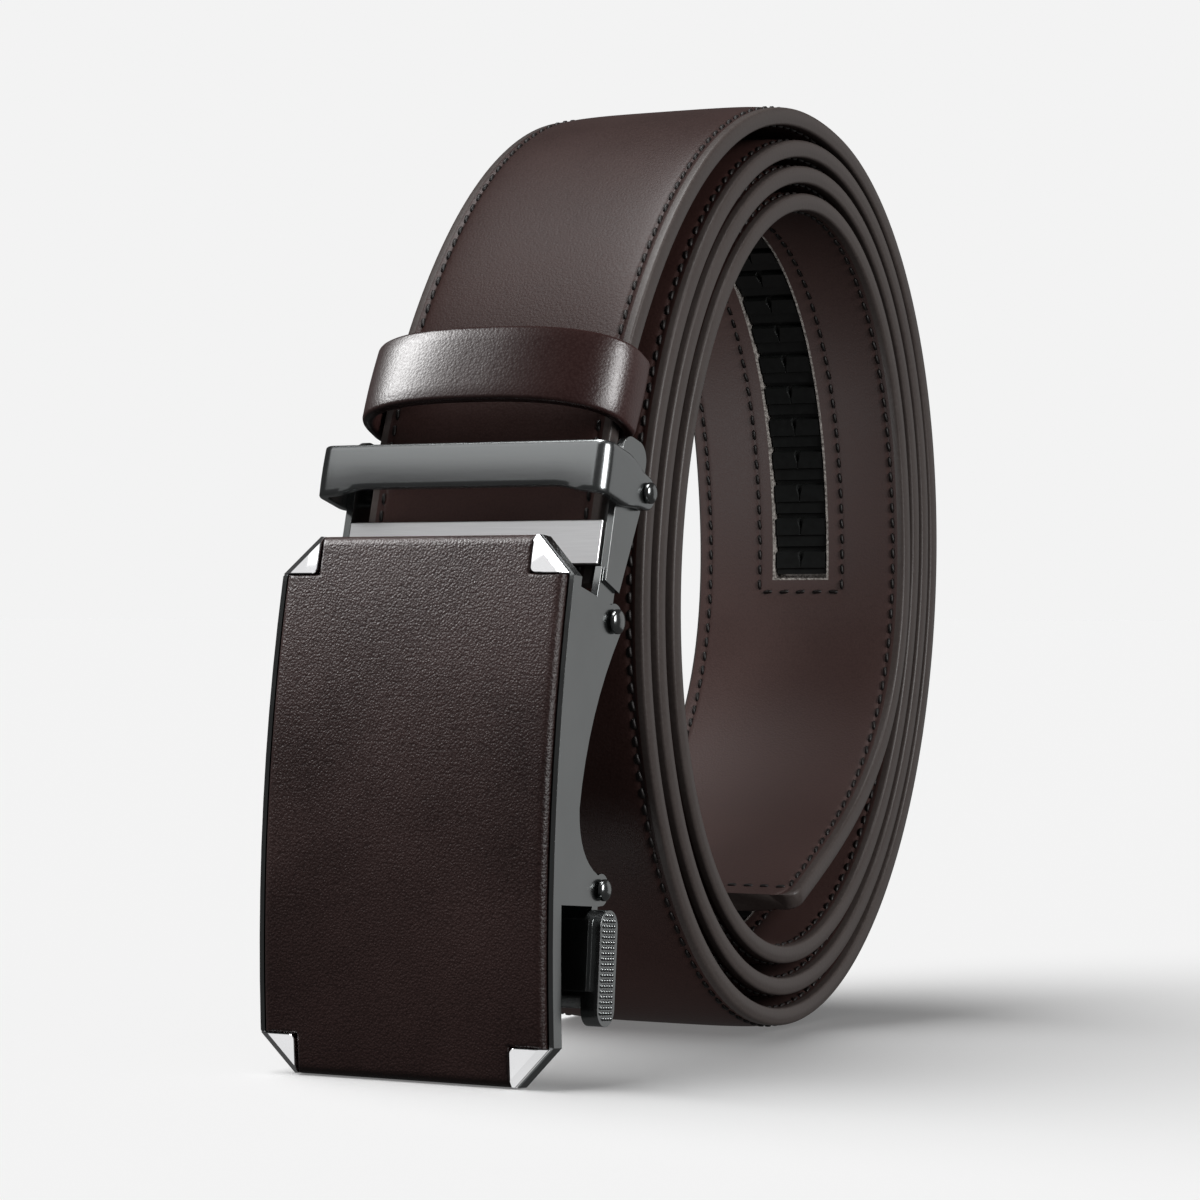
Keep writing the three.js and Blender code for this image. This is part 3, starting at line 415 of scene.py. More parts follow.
outer_leather = leather("outer_leather", OUTER_DARK, OUTER_LIGHT, pebble_scale=3000, wrinkle_scale=2500,
                        depth=0.03, roughness=0.44, specular=0.26)
lining_leather = leather("lining_leather", LINING_DARK, LINING_LIGHT, pebble_scale=3200,
                         wrinkle_scale=2500, depth=0.03, roughness=0.55)
# the keeper gets its own darker leather as painted shade, with a lower roughness so that its ends catch
# brighter highlights
keeper_leather = leather("keeper_leather", KEEPER_SHADED_DARK, KEEPER_SHADED_LIGHT, pebble_scale=3000,
                         wrinkle_scale=2500, depth=0.03, roughness=0.35)
panel_leather = leather("panel_leather", PANEL_DARK, PANEL_LIGHT, pebble_scale=3300, wrinkle_scale=5200,
                        depth=0.09, roughness=0.37)
rim_paint = leather("rim_paint", RIM_DARK, RIM_LIGHT, pebble_scale=2000, wrinkle_scale=2500,
                    depth=0.02, roughness=0.42)
print("leather finishes:",
      [m.name for m in (outer_leather, keeper_leather, lining_leather, panel_leather, rim_paint)])

# %% [markdown]
# ## Raw edge, thread and rubber
# The cut edge of the slot is speckled where light fibres stand between dark glue; thread is twisted
# and nearly black; the moulded track is smooth with faint scuffs. Each is a fine noise that chooses
# between two tones and raises its light specks a little.

# %% Raw edge, thread and rubber


def speckled(name, dark, light, scale, detail, roughness, specular, depth, strength):
    """A noise on the object's coordinates drives both the colour and the bump; depth in millimetres."""
    material, tree, shader = blank_material(name, roughness, specular=specular)
    place = tree.nodes.new("ShaderNodeTexCoord").outputs["Object"]
    specks = fed_node(tree, "ShaderNodeTexNoise", place, Scale=scale, Detail=detail).outputs["Fac"]
    tree.links.new(two_tone(tree, specks, dark, light), shader.inputs["Base Color"])
    add_bump(tree, shader, specks, depth * MM, strength)
    return material


raw_edge = speckled("raw_edge", (0.06, 0.05, 0.045), (0.62, 0.58, 0.54), scale=2600, detail=6,
                    roughness=0.85, specular=0.2, depth=0.2, strength=0.8)
thread = speckled("thread", (0.002, 0.0014, 0.0014), (0.014, 0.009, 0.008), scale=6000, detail=2,
                  roughness=0.5, specular=0.4, depth=0.05, strength=0.5)
rubber = speckled("track_rubber", (0.007, 0.0075, 0.0072), (0.015, 0.0165, 0.016), scale=900, detail=2,
                  roughness=0.42, specular=0.5, depth=0.02, strength=0.4)
print("speckled finishes:", [m.name for m in (raw_edge, thread, rubber)])

# %% [markdown]
# ## Metals
# Plated metal has hardly any colour of its own: it shows what stands round it. Its finish is a
# reflectance and a roughness, with faint smudges so that the highlights are not perfectly even.

# %% Metal materials
SMUDGE_SCALE = 160
DULL_SHARE = 0.9  # of the colour, where a smudge lies


def plated(name, colour, roughness, smudge, streak=1.0):
    """Plated metal: plain metallic shader whose roughness rises in soft smudges of noise."""
    material, tree, shader = blank_material(name, roughness, metallic=1.0)
    place = tree.nodes.new("ShaderNodeTexCoord").outputs["Object"]
    stretch = fed_node(tree, "ShaderNodeMapping", place, Scale=(1.0, streak, streak))
    noise = fed_node(tree, "ShaderNodeTexNoise", stretch.outputs["Vector"], Scale=SMUDGE_SCALE, Detail=4)
    rough = math_node(tree, "MULTIPLY", noise.outputs["Fac"], smudge)
    rough = math_node(tree, "ADD", rough, roughness - smudge / 2)
    tree.links.new(rough, shader.inputs["Roughness"])
    darker = tuple(DULL_SHARE * value for value in colour)
    tree.links.new(two_tone(tree, noise.outputs["Fac"], darker, colour), shader.inputs["Base Color"])
    return material


gunmetal = plated("gunmetal", (0.27, 0.28, 0.28), roughness=0.2, smudge=0.08)
bar_metal = plated("bar_metal", (0.27, 0.28, 0.282), roughness=0.24, smudge=0.08, streak=30.0)
bright_plate = plated("bright_plate", (0.92, 0.92, 0.93), roughness=0.3, smudge=0.06, streak=25.0)
corner_chrome = plated("corner_chrome", (0.86, 0.86, 0.87), roughness=0.1, smudge=0.04)
print("metals:", [m.name for m in (gunmetal, bar_metal, bright_plate, corner_chrome)])

# %% [markdown]
# ## Strap
# The real strap is two leathers round a filler, pressed, stitched near both rims, and its cut edges
# are painted. One section is carried along the path: a flat margin, a groove under the stitches, the
# padded crown, rounded painted rims and the flat lining. Near the free end the lining has the slot.

# %% Strap surface
STITCH_IN = 2.0  # from the rim to the stitch line
GROOVE_DEPTH = 0.16
GROOVE_WIDTH = 0.3
RIM_ROUND = 0.45
RIM_BULGE = 0.12
SLOT_WIDTH = 8.8
SLOT_DEPTH = 1.7
SLOT_FROM_TIP = 66.9
TRACK_LENGTH = 249
RAW_WIDTH = 0.35
SLOT_STITCH_HALF = 7.0
SLOT_STITCH_BEYOND = 2.3
STATION_STEP = 1.5
TIP_ROUND = 2.0
STEEP = 0.02  # a wall of the slot is a step this long between two points
MARK_CLEAR = 0.3  # no plain station lies closer than this to an end of the slot
CROSS_GROOVE = 0.4  # a groove across the strap is drawn wider by this, as stations lie far apart
CROWN_FLATNESS, CROWN_SHOULDER = 4, 0.6
OUTSIDE, RIM, LINING, RAW = range(4)

strap_half = STRAP_WIDTH / 2
stitch_line = strap_half - STITCH_IN
slot_half = SLOT_WIDTH / 2
slot_stop = strap_length - SLOT_FROM_TIP
slot_start = slot_stop - TRACK_LENGTH


def groove(distance):
    """A soft dip: minus the depth times a bell curve of the distance from the stitch line."""
    return -GROOVE_DEPTH * np.exp(-(distance / GROOVE_WIDTH) ** 2)


def outer_height(across):
    """Crown: a flat-topped swell that ends just inside the stitch line, plus the stitch groove."""
    crown_half = stitch_line - GROOVE_WIDTH
    inside = np.clip(1 - (np.abs(across) / crown_half) ** CROWN_FLATNESS, 0, 1)
    return CROWN_RISE * inside ** CROWN_SHOULDER + groove(np.abs(across) - stitch_line)


def strap_section():
    """Closed section, once round: outer face, right rim, lining, left rim.

    Gives for each point its place across, its height, its zone and whether it is the slot's floor.
    """
    # points lie close together where the section bends: at the grooves, the rims and the slot
    shoulder = np.array([3, 6, 9, 11, 12.4, 13.4, 14.1, 14.6, 14.9, 15.1, 15.3, 15.5, 15.7, 15.9, 16.3])
    outer = np.concatenate([-shoulder[::-1], [0], shoulder])
    turn = np.radians([0, 22.5, 45, 67.5, 90])
    rim_x = strap_half - RIM_ROUND + RIM_ROUND * np.sin(turn)
    rim_out = -RIM_ROUND + RIM_ROUND * np.cos(turn)
    belly = np.array([0.25, 0.5, 0.75])
    belly_x = strap_half + RIM_BULGE * np.sin(np.pi * belly)
    belly_out = -RIM_ROUND - belly * (EDGE_THICKNESS - 2 * RIM_ROUND)
    right_x = np.concatenate([rim_x, belly_x, rim_x[::-1]])
    right_out = np.concatenate([rim_out, belly_out, -EDGE_THICKNESS - rim_out[::-1]])
    inner = np.array([16.3, 15.9, 15.7, 15.5, 15.3, 15.1, 14.6, 12, 9.5, 7.7, 7.25, 7.0, 6.75, 6.3, 5.4,
                      slot_half + RAW_WIDTH, slot_half, slot_half - STEEP, 2.4])
    lining = np.concatenate([inner, [0], -inner[::-1]])
    lining_out = -EDGE_THICKNESS - groove(np.abs(lining) - stitch_line)
    across = np.concatenate([outer, right_x, lining, -right_x[::-1]])
    out = np.concatenate([outer_height(outer), right_out, lining_out, right_out[::-1]])
    zone = np.repeat([OUTSIDE, RIM, LINING, RIM], [len(outer), len(right_x), len(lining), len(right_x)])
    floor = np.zeros(len(across), bool)
    first = len(outer) + len(right_x)
    floor[first + len(inner) - 2:first + len(inner) + 3] = True
    return across, out, zone, floor


section_across, section_out, section_zone, slot_floor = strap_section()
body_stations = np.arange(0, strap_length - TIP_ROUND, STATION_STEP)
slot_marks = [slot_start - RAW_WIDTH, slot_start - STEEP, slot_start,
              slot_stop, slot_stop + STEEP, slot_stop + RAW_WIDTH]
crowd = np.abs(body_stations[:, None] - np.array(slot_marks)).min(axis=1) < MARK_CLEAR
round_share = np.sin(np.radians([0, 20, 40, 60, 75, 85, 90]))
round_stations = strap_length - TIP_ROUND * (1 - round_share)
lengths = np.sort(np.concatenate([body_stations[~crowd], slot_marks, round_stations]))

grid_out = np.tile(section_out, (len(lengths), 1))
in_slot = (lengths >= slot_start) & (lengths <= slot_stop)
grid_out[np.ix_(in_slot, slot_floor)] += SLOT_DEPTH
slot_line = np.abs(np.abs(section_across) - SLOT_STITCH_HALF)
beside = (lengths > slot_start - SLOT_STITCH_BEYOND) & (lengths < slot_stop + SLOT_STITCH_BEYOND)
dip = np.where((section_zone == LINING)[None, :] & beside[:, None], -groove(slot_line)[None, :], 0)
for end in (slot_start - SLOT_STITCH_BEYOND, slot_stop + SLOT_STITCH_BEYOND):
    near = -groove(np.abs(lengths - end) * CROSS_GROOVE)[:, None]
    middle = (section_zone == LINING) & (np.abs(section_across) < SLOT_STITCH_HALF + GROOVE_WIDTH)
    dip = np.maximum(dip, near * middle[None, :])
grid_out += dip
to_tip = np.clip((lengths - (strap_length - TIP_ROUND)) / TIP_ROUND, 0, 1)
narrow = 1 - TIP_ROUND * (1 - np.sqrt(1 - to_tip ** 2)) / strap_half
grid_across = section_across[None, :] * narrow[:, None]
strap_grid = on_strap(np.repeat(lengths[:, None], len(section_across), axis=1), grid_across, grid_out)
strap = make_piece("strap_leather", strap_grid, closed_tube(strap_grid), outer_leather, "belt",
                   smooth_deg=50)
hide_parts("strap")

# %% [markdown]
# ## Finishes on the strap
# One surface carries four finishes: grained leather outside, paint on the rims, the lining's leather
# inside and the raw edge round the slot. Each grid cell knows its place in the section, so whole
# columns and rows of cells get their finish at once.

# %% Strap finishes
rows, columns = strap_grid.shape[:2]
for finish in (rim_paint, lining_leather, raw_edge):
    strap.data.materials.append(finish)
cell_zone = section_zone.copy()
cell_zone[np.arange(columns)[section_zone == OUTSIDE][-1]] = RIM
row_zone = np.tile(cell_zone, (rows - 1, 1))
near_slot = (lengths[:-1] > slot_start - RAW_WIDTH - HAIR) & (lengths[1:] < slot_stop + RAW_WIDTH + HAIR)
right_of = np.roll(section_across, -1)
reach = np.maximum(np.abs(section_across), np.abs(right_of))
ring = (section_zone == LINING) & (reach < slot_half + RAW_WIDTH + HAIR)
row_zone[np.ix_(near_slot, ring)] = RAW
zones = np.concatenate([row_zone.ravel(), [RIM, RIM]]).astype(np.int32)
strap.data.polygons.foreach_set("material_index", zones)
add_uv(strap, np.repeat(lengths, columns) * MM, np.tile(section_across, rows) * MM)
print("strap cells by finish", np.bincount(zones))

# %% [markdown]
# ## Stitches
# A sewing machine leaves short raised threads with a dark hole between each two. One thread is a
# small capsule bent down at both ends; a formula carries the same capsule to every place on the
# stitch lines, with a slight seeded slant, so that more than a thousand are one mesh.

# %% Stitches
STITCH_PITCH = 2.4
STITCH_SHARE = 0.78  # of the pitch that shows as thread
THREAD_RADIUS = 0.29
THREAD_LIFT = 0.12  # a thread's middle above the groove
THREAD_DIVE = 0.36  # from there down to its ends
SLANT_DEG, SLANT_SPREAD_DEG = 7, 3
STITCH_SEED = 7
rng = np.random.default_rng(STITCH_SEED)


def stitch_row(start, stop):
    """Evenly spaced middles of the stitches between two lengths."""
    count = int((stop - start) / STITCH_PITCH)
    return start + (stop - start) * (np.arange(count) + 0.5) / count


def repeated_tube(one_grid, count):
    """Faces of many copies of one closed tube: each copy's numbers follow those of the one before."""
    rings, sides = one_grid.shape[:2]
    one = closed_tube(one_grid)
    offsets = (np.arange(count) * rings * sides)[:, None, None]
    walls = (np.array(one[:-2]) + offsets).reshape(-1, 4).tolist()
    return walls + (np.array(one[-2:]) + offsets).reshape(-1, sides).tolist()


def stitches(name, places, along, normals):
    """Capsules: a half-thread radius that closes at both ends, sunk at the ends, on each place."""
    rings, sides = 6, 6
    share = np.linspace(-1, 1, rings)
    radius = THREAD_RADIUS * np.sqrt(np.clip(1 - np.abs(share) ** 4, 0.02, 1))
    lift = THREAD_LIFT - THREAD_DIVE * share ** 4
    turn = np.linspace(0, 2 * np.pi, sides, endpoint=False)
    length = STITCH_PITCH * STITCH_SHARE / 2
    side = np.cross(normals, along)
    slant = np.radians(rng.normal(SLANT_DEG, SLANT_SPREAD_DEG, len(places)))[:, None]
    along = along * np.cos(slant) + side * np.sin(slant)
    side = np.cross(normals, along)
    spine = (share * length)[None, :, None] * along[:, None] + lift[None, :, None] * normals[:, None]
    round_side = (radius[:, None] * np.cos(turn))[None, :, :, None] * side[:, None, None]
    round_up = (radius[:, None] * np.sin(turn))[None, :, :, None] * normals[:, None, None]
    grid = places[:, None, None] + spine[:, :, None] + round_side + round_up
    piece = make_piece(name, grid, repeated_tube(grid[0], len(places)), thread, "belt",
                       smooth_deg=180)


def stitch_places(lengths_at, across, out, inward, crosswise=False):
    """Places, directions and normals of stitches on the outer face or, inward, on the lining."""
    lengths_at, across = np.broadcast_arrays(np.asarray(lengths_at, float), np.asarray(across, float))
    places = on_strap(lengths_at, across, np.full(lengths_at.shape, out))
    normal_yz = station(lengths_at)[1] * (-1 if inward else 1)
    normals = np.concatenate([np.zeros((len(places), 1)), normal_yz], axis=1)
    if crosswise:
        along = np.tile([1.0, 0, 0], (len(places), 1))
    else:
        along = np.stack([np.zeros(len(places)), normal_yz[:, 1], -normal_yz[:, 0]], axis=1)
    return places, along, normals


def joined(*rows_of_stitches):
    """Places, directions and normals of several rows, each kind in one array."""
    return [np.concatenate(kind) for kind in zip(*rows_of_stitches)]


TIP_STITCH = 2.2  # from the free end to the row that crosses it
SUNK_SHARE = 0.7  # of the groove's depth, where a thread's middle line starts
whole_row = stitch_row(1, strap_length - TIP_STITCH)
cross_row = stitch_row(-stitch_line, stitch_line)
tip_row = np.full(len(cross_row), strap_length - TIP_STITCH)
outer_sunk = -GROOVE_DEPTH * SUNK_SHARE
inner_sunk = -EDGE_THICKNESS + GROOVE_DEPTH * SUNK_SHARE
outer_stitches = joined(
    *(stitch_places(whole_row, side * stitch_line, outer_sunk, False) for side in (-1, 1)),
    stitch_places(tip_row, cross_row, outer_sunk, False, crosswise=True),
)
stitches("stitches_outer", *outer_stitches)
slot_row = stitch_row(slot_start - SLOT_STITCH_BEYOND, slot_stop + SLOT_STITCH_BEYOND)
slot_cross = stitch_row(-SLOT_STITCH_HALF, SLOT_STITCH_HALF)
inner_stitches = joined(
    *(stitch_places(whole_row, side * stitch_line, inner_sunk, True) for side in (-1, 1)),
    *(stitch_places(slot_row, side * SLOT_STITCH_HALF, inner_sunk, True) for side in (-1, 1)),
    *(stitch_places(np.full(len(slot_cross), end), slot_cross, inner_sunk, True, crosswise=True)
      for end in (slot_start - SLOT_STITCH_BEYOND, slot_stop + SLOT_STITCH_BEYOND)),
    stitch_places(tip_row, cross_row, inner_sunk, True, crosswise=True),
)
stitches("stitches_lining", *inner_stitches)

# %% [markdown]
# ## Ratchet track
# The pawl catches on moulded teeth. Each tooth starts with a deep valley, stands up steeply, keeps a
# flat top with a wedge-shaped notch in its middle, and steps down before the next one. The height is
# a function of two numbers: how far along one tooth the point lies, and how far from the middle.

# %% Ratchet track
TOOTH_PITCH = 5.3
TRACK_FIT = 0.3
TRACK_BASE = 0.5
VALLEY, RISE, PLATEAU, STEP_DOWN, STEP_END = 0.10, 0.14, 0.62, 0.66, 0.97  # shares of the pitch
STEP_LEVEL = 0.62
NOTCH_HALF, NOTCH_LENGTH, NOTCH_DEPTH = 0.55, 0.34, 0.75
TEETH_SUNK = 0.05  # the teeth end this far inside the lining's face

track_half = slot_half - TRACK_FIT
track_back = SLOT_DEPTH - EDGE_THICKNESS - TRACK_FIT
tooth_foot = track_back - TRACK_BASE
tooth_top = -EDGE_THICKNESS + TEETH_SUNK


def tooth_height(share, across):
    """0 in the valley, 1 on the top, a lower step behind; the notch cuts a wedge from the top."""
    level = np.interp(share, [0, VALLEY, RISE, PLATEAU, STEP_DOWN, STEP_END, 1],
                      [0, 0, 1, 1, STEP_LEVEL, STEP_LEVEL, 0])
    wedge = NOTCH_HALF * np.clip(1 - (share - VALLEY) / NOTCH_LENGTH, 0, 1)
    return level * (1 - NOTCH_DEPTH * (np.abs(across) < wedge))


tooth_count = int(np.ceil((TRACK_LENGTH - 2 * TRACK_FIT) / TOOTH_PITCH))
tooth_stations = np.array([0, VALLEY, RISE, 0.2, 0.28, 0.36, 0.44, PLATEAU, STEP_DOWN, 0.8, STEP_END])
track_lengths = TOOTH_PITCH * (np.arange(tooth_count)[:, None] + tooth_stations[None, :]).ravel()
share = np.tile(tooth_stations, tooth_count)
inside = track_lengths < TRACK_LENGTH - 2 * TRACK_FIT
share, track_lengths = share[inside], slot_start + TRACK_FIT + track_lengths[inside]
top_across = np.array([1, 0.93, 0.5, 0.15, 0.12, 0.09, 0.06, 0.03, 0])
top_across = track_half * np.concatenate([top_across, -top_across[-2::-1]])
track_across = np.concatenate([top_across, [-track_half, track_half]])
heights = tooth_height(share[:, None], top_across[None, :])
track_out = tooth_foot + (tooth_top - tooth_foot) * heights
track_out = np.concatenate([track_out, np.full((len(share), 2), track_back)], axis=1)
track_grid = on_strap(np.repeat(track_lengths[:, None], len(track_across), axis=1), track_across, track_out)
track = make_piece("track_teeth", track_grid, closed_tube(track_grid), rubber, "belt", smooth_deg=30)
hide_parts("ratchet_track")

# %% [markdown]
# ## Keeper loop
# A band of leather sewn into a loop. Its outline is a rounded arch round the strap; a small section
# with rounded edges, slightly bellied on the outside, is carried round that outline.

# %% Keeper loop
KEEPER_FROM_END = 26.7
KEEPER_BAND = 10.8
KEEPER_WALL = 1.6
KEEPER_ROOM = 6.2
KEEPER_BOW = 0.7
KEEPER_SHOULDER = -0.8  # the arch starts this far behind the strap's face
KEEPER_ARCH_POWER = 2.5
KEEPER_SIDE_GAP = 0.6
KEEPER_EDGE = 0.55
KEEPER_BELLY = 0.14


def arc(centre, radius, start_deg, stop_deg, count):
    """Points on a circle from one angle to another, the last one left out."""
    angle = np.radians(np.linspace(start_deg, stop_deg, count, endpoint=False))
    return centre + radius * np.stack([np.cos(angle), np.sin(angle)], axis=1)


def keeper_outline():
    """Middle of the loop's wall, anticlockwise: flat back, round back corners and an arch in front.

    The arch is a superellipse: the sum of both shares, each to the same power, is one.
    """
    grow = KEEPER_WALL / 2
    half = strap_half + KEEPER_SIDE_GAP + grow
    back = -EDGE_THICKNESS - TRACK_FIT - grow
    rise = KEEPER_ROOM + KEEPER_BOW + grow - KEEPER_SHOULDER
    rear = KEEPER_WALL
    turn = np.linspace(0, np.pi, 120, endpoint=False)
    power = 2 / KEEPER_ARCH_POWER
    arch = np.stack([half * np.sign(np.cos(turn)) * np.abs(np.cos(turn)) ** power,
                     KEEPER_SHOULDER + rise * np.sin(turn) ** power], axis=1)
    straight_back = np.linspace([rear - half, back], [half - rear, back], 24, endpoint=False)
    return np.concatenate([
        straight_back,
        arc(np.array([half - rear, back + rear]), rear, -90, 0, 8),
        arch,
        arc(np.array([rear - half, back + rear]), rear, 180, 270, 8),
    ])


def band_section(width, thickness, edge, belly, flat_points=7):
    """Closed section of a band: (along its width, outwards), rounded edges, bellied outer face."""
    turn = np.radians(np.linspace(0, 90, 6))
    corner = np.stack([width / 2 - edge + edge * np.sin(turn),
                       thickness / 2 - edge + edge * np.cos(turn)], axis=1)
    flat = np.linspace(edge - width / 2, width / 2 - edge, flat_points)[1:-1]
    outer = np.stack([flat, thickness / 2 + belly * np.cos(np.pi * flat / width)], axis=1)
    corner[0, 1] = thickness / 2 + belly * np.cos(np.pi * corner[0, 0] / width)
    right = np.concatenate([corner, corner[::-1] * [1, -1]])
    inner = np.stack([flat[::-1], np.full(len(flat), -thickness / 2)], axis=1)
    return np.concatenate([outer, right, inner, right[::-1] * [-1, 1]])


outline = keeper_outline()
ahead = np.roll(outline, -1, axis=0) - np.roll(outline, 1, axis=0)
ahead /= np.linalg.norm(ahead, axis=1, keepdims=True)
outward = np.stack([ahead[:, 1], -ahead[:, 0]], axis=1)
section = band_section(KEEPER_BAND, KEEPER_WALL, KEEPER_EDGE, KEEPER_BELLY)
keeper_flat = outline[:, None, :] + outward[:, None, :] * section[None, :, 1:2]
keeper_place, keeper_normal = station(KEEPER_FROM_END)
keeper_ahead = np.array([keeper_normal[1], -keeper_normal[0]])
yz = (keeper_place + keeper_flat[..., 1:2] * keeper_normal
      + np.broadcast_to(section[None, :, 0:1], keeper_flat[..., 1:2].shape) * keeper_ahead)
keeper_grid = np.concatenate([CENTRE_X + keeper_flat[..., 0:1], yz], axis=-1)
keeper_faces = grid_faces(*keeper_grid.shape[:2], round_rows=True, round_columns=True)
keeper = make_piece("keeper_leather", keeper_grid, keeper_faces.tolist(), keeper_leather, "belt",
                    smooth_deg=60)
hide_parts("keeper_loop")

# %% [markdown]
# ## Bail
# A strip of metal bent round the strap: its ends are ears on the clamp pin, its middle is the bar
# that shows in front. A section with small bevels is carried along the bend, and its height grows
# from the round ears to the full bar.

# %% Bail
BAIL_REACH = 12
BAIL_THICKNESS = 1.2
BAIL_HEIGHT = 6
BAIL_RISE = 0.6
BAIL_CORNER = 1.9
BAIL_NECK = 6  # from the pin to where the ears reach their full height
BAIL_EAR = 2.3
BAIL_BEVEL = 0.22
BAIL_BELLY = 0.12
BAIL_ARCH = 0.9  # the bar's underside is higher in the middle than at both ends
BAIL_ARCH_LENGTH = 5.5
bail_outer_half = (box_mm("bail")[1][0] - box_mm("bail")[0][0]) / 2


def bail_path():
    """Middle of the strip seen along the strap: back up one side, round two corners, and back."""
    half = bail_outer_half - BAIL_THICKNESS / 2
    reach = BAIL_REACH - BAIL_THICKNESS / 2
    corner = BAIL_CORNER - BAIL_THICKNESS / 2
    ear = np.sin(np.linspace(-np.pi / 2, 0, 9))[:-1] * BAIL_EAR
    leg = np.concatenate([ear, np.linspace(0, reach - corner, 14, endpoint=False)])
    right = np.stack([np.full(len(leg), half), leg], axis=1)
    bar = np.linspace([half - corner, reach], [corner - half, reach], 40, endpoint=False)
    return np.concatenate([
        right,
        arc(np.array([half - corner, reach - corner]), corner, 0, 90, 14),
        bar,
        arc(np.array([corner - half, reach - corner]), corner, 90, 180, 14),
        (right * [-1, 1])[::-1],
    ])


def smooth(share):
    """Ease from 0 to 1: three times the square less twice the cube."""
    share = np.clip(share, 0, 1)
    return share ** 2 * (3 - 2 * share)


path = bail_path()
path_ahead = np.gradient(path, axis=0)
path_ahead /= np.linalg.norm(path_ahead, axis=1, keepdims=True)
path_outward = np.stack([path_ahead[:, 1], -path_ahead[:, 0]], axis=1)
ease = smooth(path[:, 1] / BAIL_NECK)
round_end = np.sqrt(np.clip(1 - (np.clip(-path[:, 1], 0, BAIL_EAR) / BAIL_EAR) ** 2, 0.002, 1))
to_side = bail_outer_half - np.abs(path[:, 0])
arch = BAIL_ARCH * smooth(1 - (to_side - BAIL_CORNER) / BAIL_ARCH_LENGTH) * ease
top_down = -(BAIL_EAR + (BAIL_HEIGHT / 2 + BAIL_RISE - BAIL_EAR) * ease) * round_end
foot_down = (BAIL_EAR + (BAIL_HEIGHT / 2 - BAIL_RISE - BAIL_EAR) * ease + arch) * round_end
middle_down, half_height = (top_down + foot_down) / 2, (foot_down - top_down) / 2
bail_section = band_section(2.0, BAIL_THICKNESS, BAIL_BEVEL, BAIL_BELLY, 13)
spread = np.sign(bail_section[:, 0]) * np.maximum(np.abs(bail_section[:, 0]) - (1 - BAIL_BEVEL), 0)
flat_share = np.clip(bail_section[:, 0] / (1 - BAIL_BEVEL), -1, 1)
straight_half = np.maximum(half_height - BAIL_BEVEL, 0)
down = middle_down[:, None] + flat_share[None] * straight_half[:, None] + spread[None]
bail_flat = path[:, None, :] + path_outward[:, None, :] * bail_section[None, :, 1:2]
bail_yz = (clamp_pin[1:] + down[..., None] * clamp_down + bail_flat[..., 1:2] * clamp_out)
bail_grid = np.concatenate([CENTRE_X + bail_flat[..., 0:1], bail_yz], axis=-1)
bail = make_piece("bail_bar", bail_grid, closed_tube(bail_grid), bar_metal, "clamp_lever",
                  smooth_deg=35)
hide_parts("bail")

# %% [markdown]
# ## Rivets
# The pins end in domed heads. A head's profile, turned once round the pin's axis, gives the dome,
# a narrow rim under it and the shaft; both ends of one pin are one surface of revolution.

# %% Rivets
PIN_SIDES = 48
HEAD_HEIGHT = 0.9
DOME_HEIGHT = 0.75 * HEAD_HEIGHT
DOME_TOP = 0.02  # radius of the small flat that closes the dome


def rivet(name, node, body, shaft, head):
    """Profile (distance along X, radius) turned round the pin: dome, rim, shaft, rim, dome."""
    low, high = box_mm(node)
    reach = (high[0] - low[0]) / 2
    turn = np.radians(np.linspace(0, 80, 9))
    dome_x = reach - DOME_HEIGHT + DOME_HEIGHT * np.cos(turn)
    dome_r = head * np.sin(turn) / np.sin(turn[-1])
    dome_r[0] = DOME_TOP
    side = np.stack([np.concatenate([dome_x, [reach - HEAD_HEIGHT, reach - HEAD_HEIGHT]]),
                     np.concatenate([dome_r, [head, shaft]])], axis=1)
    profile = np.concatenate([side, side[::-1] * [-1, 1]])
    angle = np.linspace(0, 2 * np.pi, PIN_SIDES, endpoint=False)
    centre = middle_mm(node)
    grid = np.empty((len(profile), PIN_SIDES, 3))
    grid[..., 0] = centre[0] + profile[:, :1]
    grid[..., 1] = centre[1] + profile[:, 1:] * np.cos(angle)
    grid[..., 2] = centre[2] + profile[:, 1:] * np.sin(angle)
    piece = make_piece(name, grid, closed_tube(grid), gunmetal, body, smooth_deg=35)
    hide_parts(node)


rivet("clamp_rivet", "clamp_pin", "clamp_lever", shaft=0.75, head=1.4)
rivet("hinge_rivet", "hinge_pin", "belt", shaft=0.9, head=1.6)
rivet("lever_rivet", "lever_pin", "buckle", shaft=0.8, head=1.4)

# %% [markdown]
# ## Leather-faced panel
# The buckle's face is board wrapped in pebbled leather: bowed along its height, its edges rolled
# over, with a square notch in each corner where a metal cap sits. The grid's lines crowd towards the
# outline and the notches, and the height drops in a quarter circle beside them.

# %% Panel
BUCKLE_LEAN_DEG = 5.2
BUCKLE_HEIGHT = 69.3
BUCKLE_BOW = 2.9
HINGE_HEIGHT = 59.2  # from the buckle's foot, along the face
HINGE_BEHIND = 11.3  # behind the straight line from the face's foot to its top
PANEL_ROLL = 1.1
NOTCH_ROLL = 0.35
PANEL_DEPTH = 1.6
CAP_LEG = 5
CAP_SEAM = 0.08  # between a cap and the leather beside it

buckle_lean = np.radians(BUCKLE_LEAN_DEG)
face_up = np.array([np.sin(buckle_lean), np.cos(buckle_lean)])
face_out = np.array([-np.cos(buckle_lean), np.sin(buckle_lean)])
buckle_foot = hinge_pin[1:] - HINGE_HEIGHT * face_up + HINGE_BEHIND * face_out
panel_half = (box_mm("face_panel")[1][0] - box_mm("face_panel")[0][0]) / 2


def on_face(across, height, out):
    """Points from distances across the face, up it and out of its bowed surface."""
    share = 2 * height / BUCKLE_HEIGHT - 1
    above = out + BUCKLE_BOW * (1 - share ** 2)
    yz = buckle_foot + height[..., None] * face_up + above[..., None] * face_out
    return np.concatenate([CENTRE_X + across[..., None], yz], axis=-1)


